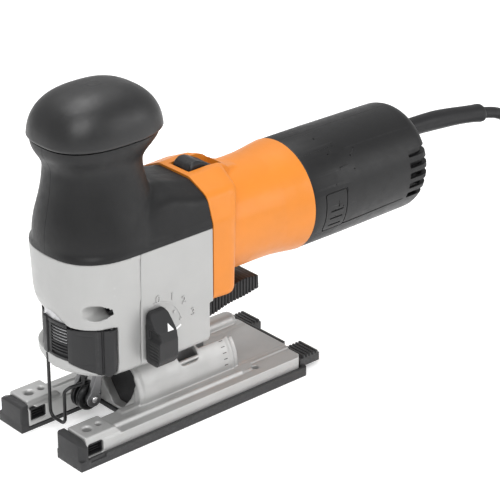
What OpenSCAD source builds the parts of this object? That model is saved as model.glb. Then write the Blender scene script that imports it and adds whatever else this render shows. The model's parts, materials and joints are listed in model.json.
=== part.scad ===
// Barrel-grip jigsaw. X runs from the blade end to the cable end, Z up, and the pendulum selector
// is on the -Y side. The origin is the middle of the sole's flat underside. Millimetres.

/* [Base] */
// Length of the sole
base_l = 160; // [145:1:200]
// Width of the sole
base_w = 74; // [70:1:90]
// Width of the slot between the two prongs
slot_w = 32; // [28:1:36]
// Where the prong slot ends, ahead of the middle
slot_end = 28; // [20:1:34]
// Height of the cast base plate above the ground
plate_top = 14; // [12:0.5:15]
// Height of the two front pads
pad_top = 17; // [15:0.5:18]
// Height of the glide shoe's side rims
rim_h = 5.5; // [4:0.5:6]
// Thickness of the glide shoe's sole
sole_t = 2.2; // [1.5:0.1:3]
// Outer radius of the tilting arch
arch_r = 22; // [20:0.5:23]
// Wall of the tilting arch
arch_wall = 3; // [2:0.5:4]
// Height of the tilt axis
tilt_z = 16; // [15:0.5:17]
// Width of the rip-fence bar slot
fence_w = 10; // [6:1:12]
// Height of the rip-fence bar slot
fence_h = 7; // [5:0.5:7]

/* [Housing] */
// Width of the gear housing
body_w = 65; // [60:1:80]
// Distance of the housing's nose ahead of the middle
nose = 71; // [68:1:76]
// How far the nose's circle is larger than half the housing's width
nose_swell = 2.2; // [1:0.1:3]
// Underside of the gear housing
body_bottom = 43; // [42.5:0.5:46]
// Joint line between the metal housing and the plastic handle
body_top = 110; // [108:1:114]
// Wall of the metal housing
wall = 3; // [2:0.5:4]
// Wall of the plastic shells
skin = 2.5; // [2:0.25:3]
// Distance of the front cover's joint ahead of the middle
seam = 34; // [33:0.5:35]

/* [Handle] */
// Height of the waist of the handle
waist_z = 152; // [146:1:156]
// Height of the joint under the knob cap
cap_z = 170; // [164:1:176]
// Length of the knob cap
knob_len = 71; // [66:1:80]
// Width of the knob cap
knob_w = 56.8; // [50:0.4:68]
// Overall height
top_z = 195.5; // [190:0.5:212]

/* [Motor] */
// Height of the motor axis
motor_z = 97; // [95:0.5:99]
// Radius of the orange barrel at its waist
waist_r = 30; // [29.5:0.5:36]
// Radius of the barrel at the ring and of the rear housing
ring_r = 32.5; // [32:0.5:40]
// Distance of the ring behind the middle
ring_x = 89; // [86:1:95]
// Distance of the rear end behind the middle
rear_x = 182; // [176:1:210]

/* [Drive] */
// Stroke of the blade
stroke = 26; // [18:1:28]
// Plunger rod diameter
rod_d = 7; // [6:0.5:8]
// Distance of the plunger ahead of the middle
rod_x = 60; // [59:0.5:61]
// Teeth on the pinion
pinion_teeth = 10; // [10:1:12]
// Teeth on the drive gear
gear_teeth = 44; // [42:1:48]
// Tooth module
tooth = 0.8; // [0.75:0.05:0.85]
// Guide roller diameter
roller_d = 15.5; // [13:0.5:16]
// Running clearance, on the radius
run = 0.05; // [0.02:0.01:0.1]
// Clearance between moving pieces
gap = 0.3; // [0.2:0.05:0.5]

/* [Cord] */
// Cord diameter
cord_d = 7; // [6:0.5:7]
// Coil radius to the middle of its turns
coil_r = 42; // [38:1:46]
// Space between neighbouring turns
coil_gap = 0.2; // [0.1:0.1:0.4]
// Thickness of the tie strap
tie_t = 1.2; // [0.8:0.2:2]

/* [Hidden] */
$fn = 48;
soft_fn = 28;
eps = 0.01;
open = 60;

// knob cap
knob_x = -36.2;
knob_power = 2.6;
knob_rise = 2.35;
knob_fall = 2.5;

// base
base_x = base_l / 2;
plate_edge = 2.2;
cap_len = 4.8;
cap_h = pad_top - 1;
prong_out = base_w / 2 - plate_edge;
plate_front = base_x - cap_len - 0.2;
plate_rear = base_x - 2;
arch_in = arch_r - arch_wall;
arch_rear = 37;
pad_len = 20;
pad_in = slot_w / 2 + 3;
fence_x = base_x - 6.5;
fence_z = rim_h;
bolt_x = 8.5;
bolt_r = 3;
tilt_slot_w = 13;
tab_len = 13;
tab_w = 15;
tab_y = base_w / 3 + 0.3;

// housing outline, seen from above
half_w = body_w / 2;
in_w = half_w - wall;
nose_r = half_w + nose_swell;
nose_c = nose_r - nose;
body_rear = 15;
foot_rear = 12;
win_z0 = body_bottom + 7.5;
win_z1 = win_z0 + 21.5;
win_a0 = 167;
door_a0 = 204;
hinge_a = 242;
win_a1 = 247;
lip_z = body_bottom + 1;

// cover screws
screw_y = half_w - 7;
screw_z = 82;
screw_r = 2;
head_r = 3.4;

// drive train, from the module and the teeth
press_angle = 25;
gear_r = tooth * gear_teeth / 2;
pinion_r = tooth * pinion_teeth / 2;
gear_z = motor_z + gear_r + pinion_r;
gear_x0 = -45;
gear_w = 8;
bearing_x = -30;
shaft_r = 4;
nose_shaft_r = 3;
crank_r = stroke / 2;
crank_pin_r = 2.5;
yoke_x = -50;
yoke_z = gear_z + crank_r;
yoke_h = 11;
rod_r = rod_d / 2;
rod_top = yoke_z + yoke_h / 2;
clamp_r = 5.5;
clamp_z0 = 44.5;
clamp_len = 13.5;
bush_len = 10;
bush_r = rod_r + 3.5;
bush_low = clamp_z0 + clamp_len + 2;
bush_high = yoke_z - yoke_h / 2 - stroke - bush_len - 0.5;
ball_r = 11;
small_ball_r = 9.5;

// blade support
roller_x = -48.2;
roller_z = 19.5;
roller_half = 4.2;
cheek_t = 3;
pin_r = 1.6;
swing_x = -32;
swing_z = 51;
wire_r = 0.9;
wire_y = 6.6;
wire_x = -67.3;

// controls
select_x = -25.5;
select_z = 61;
lever_x = 18;
lever_z = 48;
lever_half = 11;
switch_len = 18;
switch_travel = 6;
switch_x = 20;
switch_half = 7.5;
switch_top = 137;
collar_len = 15;
cheek_half = 13;
cheek_top = switch_top - 2.5;

// motor
fan_x = 44;
core_x = 62;
core_len = 45;
bore_r = 17;
brush_x = 123;
comm_r = 11;
rear_ball_x = 150;
post_x = [core_x + core_len + 12, rear_x - 18];
post_z = motor_z - ring_r + skin + 5;
barrel_in = waist_r - skin;
rear_in = ring_r - skin;

// cord: sleeve, then a free fall onto a flat coil on the ground
sleeve_x0 = rear_x - 4;
sleeve_z0 = motor_z + 12;
SLEEVE_END = [256, 0, 102];
coil_c = [350, -30];
pitch = cord_d + coil_gap;
coil_in = coil_r - 1.5 * pitch - cord_d / 2;
coil_out = coil_r + 1.5 * pitch + cord_d / 2;
coil_h = pitch + cord_d;
layer_low = tie_t + cord_d / 2;
plug_half = 8.5;
plug_x = 366;
plug_y = -62;
plug_z = tie_t + coil_h + plug_half + 0.1;
LEAD = [[256, 0, 102], [269.2, 0.3, 98.3], [280.8, 1.5, 92.1], [290.9, 3.5, 83.6], [298.4, 5.8, 74.2],
        [304, 8.6, 63.5], [311.7, 13.4, 44.4], [319.4, 18.2, 25.4], [324.4, 20.2, 16.9],
        [331.5, 21.8, 10.3], [340.4, 22.6, 6.1], [350, 22.8, 4.7]];
TAIL = [[402.8, -30, 11.9], [400.9, -40.9, 14.2], [395.3, -50.6, 18], [386.8, -57.7, 21.3],
        [376.4, -61.5, 23.6], [366, -62, 24.1]];

// ---------- shared shapes ----------
module xcyl(r, x0, x1, y = 0, z = 0) {
    translate([x0, y, z]) rotate([0, 90, 0]) cylinder(r = r, h = x1 - x0);
}
module ycyl(r, y0, y1, x = 0, z = 0) {
    translate([x, y1, z]) rotate([90, 0, 0]) cylinder(r = r, h = y1 - y0);
}
module block(lo, hi) {
    translate(lo) cube(hi - lo);
}
module both_sides() {
    children();
    mirror([0, 1, 0]) children();
}
module half_space(side) {
    if (side < 0) block([-200, -200, 0], [400, 0, 300]);
    else block([-200, 0, 0], [400, 200, 300]);
}
// seen from above: round nose, straight sides
module outline(inset = 0, rear = body_rear) {
    intersection() {
        union() {
            translate([nose_c, 0]) circle(r = nose_r - inset, $fn = 96);
            translate([nose_c, -half_w]) square([rear - nose_c, body_w]);
        }
        translate([-nose - 1, -half_w + inset]) square([nose + 1 + rear, body_w - 2 * inset]);
    }
}
// pie slice about the nose circle's centre
module sector(a0, a1, r = 60) {
    translate([nose_c, 0])
        polygon(concat([[0, 0]], [for (i = [0:4]) r * [cos(a0 + (a1 - a0) * i / 4),
                                                       sin(a0 + (a1 - a0) * i / 4)]]));
}
module ring_sector(r0, r1, a0, a1) {
    intersection() {
        translate([nose_c, 0]) difference() {
            circle(r = r1, $fn = 96);
            circle(r = r0, $fn = 96);
        }
        sector(a0, a1);
    }
}
module ball_bearing(x, len, r_out, r_in, z) {
    difference() {
        xcyl(r_out, x, x + len, 0, z);
        xcyl(r_in, x - 1, x + len + 1, 0, z);
        for (side = [x - eps, x + len - 0.6])
            difference() {
                xcyl(r_out - 1.8, side, side + 0.6 + eps, 0, z);
                xcyl(r_in + 1.8, side - 1, side + 2, 0, z);
            }
    }
}
// a solid through rings of equal numbers of points
module closed(rings) {
    m = len(rings);
    n = len(rings[0]);
    walls = [for (i = [0:m - 2], k = [0:n - 1])
             [i * n + k, (i + 1) * n + k, (i + 1) * n + (k + 1) % n, i * n + (k + 1) % n]];
    polyhedron([for (r = rings) each r],
               concat(walls, [[for (k = [0:n - 1]) k]], [[for (k = [n - 1:-1:0]) (m - 1) * n + k]]));
}
// round-ended slice used to loft the handle
module slice(x0, x1, half, r, z) {
    translate([0, 0, z]) linear_extrude(0.5)
        for (x = [x0 + r, x1 - r], y = [-half + r, half - r])
            translate([x, y]) circle(r = r, $fn = soft_fn);
}

// ---------- gears ----------
// involute point at a given radius, as an angle from the tooth's middle
function inv(a) = tan(a) * 180 / PI - a;
function half_tooth(n, r, backlash) =
    let (rp = tooth * n / 2, rb = rp * cos(press_angle))
    90 / n - backlash / rp * 90 / PI + inv(press_angle) - (r > rb ? inv(acos(rb / r)) : 0);
function flank(n, mid, side, radii, backlash) =
    [for (r = radii) let (a = mid + side * half_tooth(n, r, backlash)) r * [cos(a), sin(a)]];
module gear_outline(n, turn, addendum, backlash = 0.12) {
    rp = tooth * n / 2;
    root = rp - 1.15 * tooth;
    tip = rp + addendum * tooth;
    up = [root, max(rp * cos(press_angle), root + eps), (rp + root) / 2 + 0.2, rp, tip];
    down = [for (i = [len(up) - 1:-1:0]) up[i]];
    polygon([for (k = [0:n - 1]) let (mid = turn + 360 * k / n)
             each concat(flank(n, mid, -1, up, backlash), flank(n, mid, 1, down, backlash))]);
}

// ---------- metal housing ----------
module front_cover() color([0.80, 0.80, 0.80]) difference() {
    union() {
        difference() {
            translate([0, 0, lip_z]) linear_extrude(body_top - lip_z) outline();
            translate([0, 0, -1]) linear_extrude(body_top + 2) outline(wall);
        }
        both_sides() intersection() {
            xcyl(6.2, -seam - 22, -seam, screw_y, screw_z);
            linear_extrude(body_top) outline(wall / 2);
        }
    }
    block([-seam, -half_w - 1, 0], [body_rear + 1, half_w + 1, body_top + 1]);
    translate([0, 0, win_z0]) linear_extrude(win_z1 - win_z0)
        ring_sector(nose_r - wall - 2, nose_r + 5, win_a0, win_a1);
    both_sides() {
        xcyl(head_r + 0.6, -nose - 5, -seam - 14, screw_y, screw_z);
        xcyl(screw_r, -seam - 15, -seam + 1, screw_y, screw_z);
    }
    lever_pin_at(1, 0, win_z1 + 3);
}
module gear_housing() color([0.80, 0.80, 0.80]) difference() {
    union() {
        difference() {
            block([-seam, -half_w, body_bottom], [body_rear, half_w, body_top]);
            block([-seam - 1, -in_w, body_bottom + wall], [body_rear - wall, in_w, body_top + 1]);
            block([foot_rear, -half_w - 1, 0], [body_rear + 1, half_w + 1, motor_z - waist_r]);
        }
        block([foot_rear - wall, -in_w, body_bottom], [foot_rear, in_w, motor_z - waist_r + 1]);
        both_sides() xcyl(6, -seam, -seam + 12, screw_y, screw_z);
        block([-22, -14, arch_r + tilt_z - 8], [foot_rear, 14, body_bottom + eps]);
        both_sides() block([foot_rear - eps, lever_half + 0.5, body_bottom], [lever_x + 5, 15, lever_z + 5]);
    }
    xcyl(barrel_in - 0.5, -10, body_rear + 1, 0, motor_z);
    xcyl(arch_r + gap, -open, open, 0, tilt_z);
    both_sides() xcyl(screw_r, -seam - 1, -seam + 10, screw_y, screw_z);
    block([-seam - 1, -9.5, 0], [-25, 9.5, body_bottom + wall + 1]);
    translate([bolt_x, 0, tilt_z]) cylinder(r = bolt_r, h = body_bottom + wall - tilt_z + 1);
    ycyl(shaft_r + run, -half_w - 1, -in_w + 1, select_x, select_z);
    ycyl(2, -20, 20, lever_x, lever_z);
}
module bearing_plate() color([0.72, 0.72, 0.74]) difference() {
    union() {
        block([bearing_x - 1, -in_w, motor_z - 7], [bearing_x + 7, in_w, body_top - 2]);
        xcyl(small_ball_r + 2.5, bearing_x - 1, bearing_x + 7, 0, motor_z);
        xcyl(ball_r + 3.5, bearing_x - 1, bearing_x + 7, 0, gear_z);
    }
    xcyl(small_ball_r, bearing_x + 1, bearing_x + 8, 0, motor_z);
    xcyl(5, bearing_x - 2, bearing_x + 8, 0, motor_z);
    xcyl(ball_r, bearing_x, bearing_x + 8, 0, gear_z);
    xcyl(6, bearing_x - 2, bearing_x + 8, 0, gear_z);
}
module cover_screws() color([0.25, 0.25, 0.26]) both_sides() difference() {
    union() {
        xcyl(head_r, -seam - 17, -seam - 14, screw_y, screw_z);
        xcyl(screw_r, -seam - 14, -seam + 9.5, screw_y, screw_z);
    }
    xcyl(1.5, -seam - 18, -seam - 15.5, screw_y, screw_z, $fn = 6);
}

// ---------- plastic handle ----------
module handle_solid(inset) {
    low = body_top + (inset > 0 ? -1 : 0);
    hull() {
        slice(-nose + inset, -8, half_w - 1.5 - inset, 26, low);
        slice(5 - nose + inset, -12 - inset, 21 - inset, 17, waist_z);
    }
    hull() {
        slice(5 - nose + inset, -12 - inset, 21 - inset, 17, waist_z);
        slice(1 - nose + inset, -3 - inset, 27 - inset, 20, cap_z - 0.5 - inset / 2);
    }
    hull() {
        slice(-40, body_rear + inset, half_w - inset, 8, low);
        slice(-40, body_rear + inset, 24 - inset, 8, body_top + 17 - inset);
        slice(-36, -8 - inset, 14 - inset, 8, waist_z - 6 - inset);
    }
}
module handle_half(side) difference() {
    intersection() {
        handle_solid(0);
        half_space(side);
        block([-nose - 5, -half_w - 5, body_top], [body_rear, half_w + 5, cap_z]);
    }
    difference() {
        handle_solid(skin);
        for (x = [-18, -52]) ycyl(4, -40, 40, x, x < -40 ? waist_z : waist_z - 12);
    }
    for (x = [-18, -52]) ycyl(1.8, -16, 12, x, x < -40 ? waist_z : waist_z - 12);
}
module handle_left() color([0.16, 0.16, 0.17]) handle_half(-1);
module handle_right() color([0.16, 0.16, 0.17]) handle_half(1);
module handle_screws() color([0.6, 0.6, 0.62]) for (x = [-18, -52])
    ycyl(1.8, -16, 12, x, x < -40 ? waist_z : waist_z - 12);
// crowned cap: the plan is a superellipse that shrinks towards the top
function knob_ring(z) =
    let (up = (z - cap_z + 1.6) / (top_z - cap_z + 1.8), grow = pow(1 - pow(up, knob_rise), 1 / knob_fall))
    [for (k = [0:47]) let (c = cos(7.5 * k), s = sin(7.5 * k),
        r = grow * pow(pow(abs(c), knob_power) + pow(abs(s), knob_power), -1 / knob_power))
     [knob_x + knob_len / 2 * r * c, knob_w / 2 * r * s, z]];
module knob_cap() color([0.17, 0.17, 0.18])
    closed([for (i = [0:16]) knob_ring(cap_z + (top_z - cap_z) * sin(90 * i / 16))]);

// ---------- motor barrel ----------
module barrel_profile() {
    polygon([[0, body_rear + 2], [waist_r + 1, body_rear + 2], [waist_r, 34], [waist_r, 62],
             [waist_r + 0.8, 74], [ring_r, ring_x - 3], [ring_r, ring_x], [0, ring_x]]);
}
module motor_housing() color([0.91, 0.52, 0.15]) difference() {
    union() {
        translate([0, 0, motor_z]) rotate([0, 90, 0]) rotate_extrude($fn = 72) barrel_profile();
        along_x(body_rear, collar_len) collar_outline();
        along_x(body_rear + 1, switch_x + switch_len + 5 - body_rear)
            polygon([[-22, motor_z + 20], [22, motor_z + 20], [cheek_half, cheek_top], [-cheek_half, cheek_top]]);
    }
    xcyl(barrel_in, body_rear - 1, ring_x + 1, 0, motor_z, $fn = 72);
    block([switch_x - gap, -switch_half - gap, switch_top - 13],
          [switch_x + switch_len + switch_travel + gap, switch_half + gap, switch_top + 5]);
    block([switch_x + 4, -3.5, motor_z], [switch_x + 20, 3.5, switch_top]);
}
// a drawing in Y and Z, pushed along X
module along_x(x, len) {
    translate([x, 0, 0]) rotate([90, 0, 90]) linear_extrude(len) children();
}
module collar_outline() {
    r = 10;
    low = motor_z - waist_r - 1.5;
    high = motor_z + ring_r - 1.5;
    translate([-half_w, low + r]) square([body_w, high - low - 2 * r]);
    translate([-half_w + r, low]) square([body_w - 2 * r, high - low]);
    for (y = [-half_w + r, half_w - r], z = [low + r, high - r])
        translate([y, z]) circle(r = r, $fn = 48);
}
module rear_half(side) difference() {
    intersection() {
        translate([0, 0, motor_z]) rotate([0, 90, 0]) rotate_extrude($fn = 72) rear_profile(0);
        half_space(side);
    }
    difference() {
        translate([0, 0, motor_z]) rotate([0, 90, 0]) rotate_extrude($fn = 72) rear_profile(skin);
        for (x = post_x) ycyl(4, -open, open, x, post_z);
    }
    for (x = post_x) ycyl(1.8, -12, 9, x, post_z);
    xcyl(cord_d / 2 + 3.5, rear_x - 20, rear_x + 1, 0, sleeve_z0);
    for (k = [-2:2]) block([rear_x - 14, side * 30 - 13, motor_z + 4 + 5.6 * k],
                           [rear_x + 1, side * 30 + 13, motor_z + 7 + 5.6 * k]);
}
module rear_profile(g) {
    corner = 10;
    end = rear_x - g;
    polygon(concat([[0, ring_x - (g > 0 ? 1 : 0)], [ring_r - g, ring_x - (g > 0 ? 1 : 0)]],
        [for (a = [0:15:90]) [ring_r - g - corner + corner * cos(a), end - corner + corner * sin(a)]],
        [[0, end]]));
}
module rear_housing_left() color([0.16, 0.16, 0.17]) rear_half(-1);
module rear_housing_right() color([0.16, 0.16, 0.17]) rear_half(1);
module rear_screws() color([0.6, 0.6, 0.62]) for (x = post_x)
    ycyl(1.8, -12, 9, x, post_z);

// ---------- motor ----------
module armature_shaft() color([0.7, 0.7, 0.72]) {
    xcyl(nose_shaft_r, gear_x0 - 2, -22, 0, motor_z);
    xcyl(shaft_r, -22, rear_ball_x + 8, 0, motor_z);
}
module pinion() color([0.62, 0.62, 0.64]) translate([gear_x0 - 0.5, 0, motor_z]) rotate([0, 90, 0])
    difference() {
        linear_extrude(gear_w + 1) gear_outline(pinion_teeth, 180 / pinion_teeth + 180, 0.75);
        translate([0, 0, -1]) cylinder(r = nose_shaft_r - 0.4, h = gear_w + 3);
    }
module armature_core() color([0.55, 0.55, 0.57]) difference() {
    xcyl(bore_r - 0.5, core_x + 1, core_x + core_len - 1, 0, motor_z);
    xcyl(shaft_r, core_x, core_x + core_len, 0, motor_z);
    for (a = [0:30:330]) translate([0, 0, motor_z]) rotate([a, 0, 0])
        block([core_x, -0.9, bore_r - 2.5], [core_x + core_len, 0.9, bore_r]);
}
module armature_windings() color([0.72, 0.38, 0.16]) for (x = [core_x - 6, core_x + core_len - 1])
    difference() {
        xcyl(bore_r - 3, x, x + 7, 0, motor_z);
        xcyl(shaft_r, x - 1, x + 8, 0, motor_z);
    }
module commutator() color([0.75, 0.42, 0.2]) difference() {
    xcyl(comm_r, brush_x - 3, brush_x + 12, 0, motor_z);
    xcyl(shaft_r, brush_x - 4, brush_x + 13, 0, motor_z);
}
module fan() color([0.2, 0.2, 0.21]) difference() {
    union() {
        xcyl(8, fan_x, fan_x + 10, 0, motor_z);
        xcyl(barrel_in - 3, fan_x, fan_x + 2, 0, motor_z);
        for (a = [0:40:320]) translate([0, 0, motor_z]) rotate([a, 0, 0])
            block([fan_x + 1, -0.8, 7], [fan_x + 10, 0.8, barrel_in - 3.5]);
    }
    xcyl(shaft_r, fan_x - 1, fan_x + 11, 0, motor_z);
}
module stator_core() color([0.45, 0.45, 0.47]) difference() {
    xcyl(barrel_in - run, core_x, core_x + core_len, 0, motor_z, $fn = 72);
    xcyl(bore_r, core_x - 1, core_x + core_len + 1, 0, motor_z);
    for (s = [-1, 1]) block([core_x - 1, -11, motor_z + (s > 0 ? 19 : -24)],
                            [core_x + core_len + 1, 11, motor_z + (s > 0 ? 24 : -19)]);
}
module stator_coils() color([0.72, 0.38, 0.16]) for (s = [-1, 1])
    block([core_x - 6, -11, motor_z + (s > 0 ? 19 : -24)], [core_x + core_len + 6, 11, motor_z + (s > 0 ? 24 : -19)]);
module brush_holders() color([0.8, 0.66, 0.3]) both_sides() difference() {
    block([brush_x, comm_r + 2, motor_z - 4], [brush_x + 9, rear_in - 0.5, motor_z + 4]);
    block([brush_x + 1.5, comm_r + 1, motor_z - 2.5], [brush_x + 7.5, rear_in - 2, motor_z + 2.5]);
}
module carbon_brushes() color([0.15, 0.15, 0.15]) both_sides()
    block([brush_x + 1.5, comm_r + 0.2, motor_z - 2.5], [brush_x + 7.5, rear_in - 8, motor_z + 2.5]);
module gear_bearing() color([0.75, 0.75, 0.77]) ball_bearing(bearing_x, 7, ball_r, shaft_r, gear_z);
module front_bearing() color([0.75, 0.75, 0.77])
    ball_bearing(bearing_x + 1, 6, small_ball_r, nose_shaft_r, motor_z);
module rear_bearing() color([0.75, 0.75, 0.77]) ball_bearing(rear_ball_x, 7, ball_r, shaft_r, motor_z);
module rear_bracket() color([0.25, 0.25, 0.26]) difference() {
    union() {
        xcyl(ball_r + 2.5, rear_ball_x, rear_ball_x + 8, 0, motor_z);
        block([rear_ball_x, -4, motor_z - rear_in + 1], [rear_ball_x + 4, 4, motor_z + rear_in - 1]);
        block([rear_ball_x, -rear_in + 1, motor_z - 4], [rear_ball_x + 4, rear_in - 1, motor_z + 4]);
    }
    xcyl(ball_r, rear_ball_x - 1, rear_ball_x + 7, 0, motor_z);
    xcyl(5, rear_ball_x - 1, rear_ball_x + 9, 0, motor_z);
}

// ---------- stroke drive ----------
module drive_gear() color([0.6, 0.6, 0.62]) difference() {
    translate([gear_x0, 0, gear_z]) rotate([0, 90, 0])
        linear_extrude(gear_w) gear_outline(gear_teeth, 0, 0.75);
    xcyl(shaft_r, gear_x0 - 1, gear_x0 + gear_w + 1, 0, gear_z);
    xcyl(crank_pin_r, gear_x0 - 1, gear_x0 + gear_w + 1, 0, gear_z + crank_r);
}
module gear_shaft() color([0.7, 0.7, 0.72]) xcyl(shaft_r, gear_x0, bearing_x + 8, 0, gear_z);
module crank_pin() color([0.75, 0.75, 0.77])
    xcyl(crank_pin_r, yoke_x + 0.4, gear_x0 + gear_w, 0, gear_z + crank_r);
module counterweight() color([0.5, 0.5, 0.52]) difference() {
    intersection() {
        xcyl(gear_r - 2, gear_x0 + gear_w + 0.2, bearing_x - 1 - gap, 0, gear_z);
        union() {
            block([-open, -open, 0], [0, open, gear_z]);
            xcyl(7, -open, 0, 0, gear_z);
        }
    }
    xcyl(shaft_r, -open, 0, 0, gear_z);
}
module plunger_rod() color([0.75, 0.75, 0.77])
    translate([-rod_x, 0, clamp_z0 + clamp_len]) cylinder(r = rod_r, h = rod_top - clamp_z0 - clamp_len);
module yoke() color([0.62, 0.62, 0.64]) difference() {
    block([1 - rod_x + rod_r - 2, -crank_r - 4, yoke_z - yoke_h / 2], [yoke_x, crank_r + 4, rod_top]);
    block([yoke_x - 4, -crank_r - 5, yoke_z - crank_pin_r - 0.1], [yoke_x + 1, crank_r + 5, yoke_z + crank_pin_r + 0.1]);
    translate([-rod_x, 0, 0]) cylinder(r = rod_r, h = rod_top + 1);
}
module blade_clamp() color([0.35, 0.35, 0.37]) difference() {
    translate([-rod_x, 0, clamp_z0]) cylinder(r = clamp_r, h = clamp_len);
    block([roller_x - roller_d / 2 - 0.35, -open, 0], [0, open, 100]);
    block([-rod_x - 4, -0.9, clamp_z0 - 1], [-rod_x + 3, 0.9, clamp_z0 + 11]);
}
module guide_frame() color([0.72, 0.72, 0.74]) difference() {
    intersection() {
        union() {
            block([-nose, -9.5, bush_low], [yoke_x - 0.5, 9.5, bush_high + bush_len]);
            block([-rod_x + 4, -in_w, bush_high], [yoke_x - 0.5, in_w, bush_high + bush_len - 2]);
        }
        linear_extrude(body_top) outline(wall + gap);
    }
    translate([-rod_x, 0, 0]) {
        cylinder(r = rod_r + 1.5, h = 200);
        translate([0, 0, bush_low - 1]) cylinder(r = bush_r, h = bush_len + 1);
        translate([0, 0, bush_high]) cylinder(r = bush_r, h = bush_len + 1);
    }
}
module bush(z) color([0.72, 0.52, 0.25]) translate([-rod_x, 0, z]) difference() {
    cylinder(r = bush_r, h = bush_len);
    translate([0, 0, -1]) cylinder(r = rod_r + run, h = bush_len + 2);
}
module lower_bush() bush(bush_low);
module upper_bush() bush(bush_high);

// ---------- blade support ----------
module arm_cheek(y0) {
    hull() {
        ycyl(5, y0, y0 + cheek_t, roller_x, roller_z, $fn = soft_fn);
        ycyl(3, y0, y0 + cheek_t, -40, 34, $fn = soft_fn);
    }
    hull() {
        ycyl(3, y0, y0 + cheek_t, -40, 34, $fn = soft_fn);
        ycyl(4.5, y0, y0 + cheek_t, swing_x, swing_z, $fn = soft_fn);
    }
}
module pendulum_arm() color([0.7, 0.7, 0.72]) difference() {
    union() {
        arm_cheek(roller_half + 0.4);
        arm_cheek(-roller_half - 0.4 - cheek_t);
        ycyl(4.5, -roller_half - 1, roller_half + 1, swing_x, swing_z);
    }
    ycyl(2.5 + run, -open, open, swing_x, swing_z);
    ycyl(pin_r, -open, open, roller_x, roller_z);
}
module pendulum_pin() color([0.75, 0.75, 0.77]) ycyl(2.5, -in_w, in_w, swing_x, swing_z);
module roller_pin() color([0.85, 0.85, 0.86])
    ycyl(pin_r, -roller_half - cheek_t - 1, roller_half + cheek_t + 1, roller_x, roller_z);
module guide_roller() color([0.5, 0.5, 0.52]) difference() {
    ycyl(roller_d / 2, -roller_half, roller_half, roller_x, roller_z);
    difference() {
        ycyl(roller_d, -0.8, 0.8, roller_x, roller_z);
        ycyl(roller_d / 2 - 2.2, -1, 1, roller_x, roller_z);
    }
    ycyl(pin_r + run, -open, open, roller_x, roller_z);
}
module rod_between(a, b) {
    d = b - a;
    translate(a) rotate([0, acos(d[2] / norm(d)), atan2(d[1], d[0])]) cylinder(r = wire_r, h = norm(d), $fn = 16);
}
module wire_guard() color([0.12, 0.12, 0.12]) {
    bend = 11.5;
    path = [[wire_x, wire_y, lip_z + 5], [wire_x, wire_y, bend + 2], [wire_x, wire_y - 2.5, bend],
            [wire_x, -wire_y + 2.5, bend], [wire_x, -wire_y, bend + 2], [wire_x, -wire_y, 31],
            [-55.5, -wire_y - 1.4, 32], [-55.5, -wire_y - 1.4, bush_low + 3]];
    for (i = [0:len(path) - 2]) rod_between(path[i], path[i + 1]);
    for (i = [1:len(path) - 2]) translate(path[i]) sphere(r = wire_r + 0.1, $fn = 16);
}

// ---------- controls ----------
module selector_knob() color([0.14, 0.14, 0.15]) difference() {
    intersection() {
        union() {
            block([select_x - 6.5, -half_w - 12.5, select_z - 13.5], [select_x + 6.5, -half_w - 0.5, select_z + 13.5]);
            for (s = [-1, 1]) ycyl(6.5, -half_w - 12.5, -half_w - 0.5, select_x, select_z + s * 11.5);
        }
        block([select_x - 7, -half_w - 13, select_z - 17.5], [select_x + 7, -half_w, select_z + 17.5]);
    }
    ycyl(shaft_r, -half_w - 9, -half_w, select_x, select_z);
}
module selector_shaft() color([0.5, 0.5, 0.52]) {
    ycyl(shaft_r, -half_w - 9, -12, select_x, select_z);
    ycyl(1.5, -12.5, -9, select_x + 1.8, select_z);
}
module lever_pin_at(r, z0, z1) {
    mid = nose_r - wall / 2;
    translate([nose_c + mid * cos(hinge_a), mid * sin(hinge_a), z0]) cylinder(r = r, h = z1 - z0);
}
module release_lever() color([0.2, 0.2, 0.21]) difference() {
    union() {
        translate([0, 0, win_z0 + gap]) linear_extrude(win_z1 - win_z0 - 2 * gap)
            ring_sector(nose_r - wall, nose_r + 1.6, door_a0, hinge_a);
        translate([0, 0, lip_z + 1]) linear_extrude(win_z1 - gap - lip_z - 1)
            ring_sector(nose_r + gap, nose_r + 1.6, door_a0, hinge_a);
        lever_pin_at(2.2, win_z0 + gap, win_z1 - gap);
    }
    lever_pin_at(1 + run, 0, 200);
}
module lever_pin() color([0.75, 0.75, 0.77]) lever_pin_at(1, lip_z + 1, win_z1 + 3);
module switch_slider() color([0.12, 0.12, 0.13]) {
    difference() {
        block([switch_x, -switch_half, switch_top - 12.5], [switch_x + switch_len, switch_half, switch_top]);
        xcyl(20, -open, open * 2, 0, switch_top + 18.5);
    }
    block([switch_x + 5, -3, motor_z + 24.4], [switch_x + 11, 3, switch_top - 12]);
}
module switch_module() color([0.3, 0.3, 0.31])
    block([switch_x - 3, -9, motor_z + 9], [switch_x + 19, 9, motor_z + 24]);
module lock_lever() color([0.22, 0.22, 0.23]) difference() {
    translate([0, lever_half, 0]) rotate([90, 0, 0]) linear_extrude(2 * lever_half)
        polygon([[lever_x - 3, 44.5], [30, 44], [44, 47.5], [56, 48.5], [65, 50], [66, 58], [54, 59],
                 [42, 56], [30, 53.5], [lever_x, 53], [lever_x - 5, 50]]);
    ycyl(2 + run, -open, open, lever_x, lever_z);
    for (k = [0:5]) block([66 - 0.8, -open, 50.5 + 1.3 * k], [70, open, 51.1 + 1.3 * k]);
}
module lock_pin() color([0.75, 0.75, 0.77]) ycyl(2, -15, 15, lever_x, lever_z);

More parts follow.
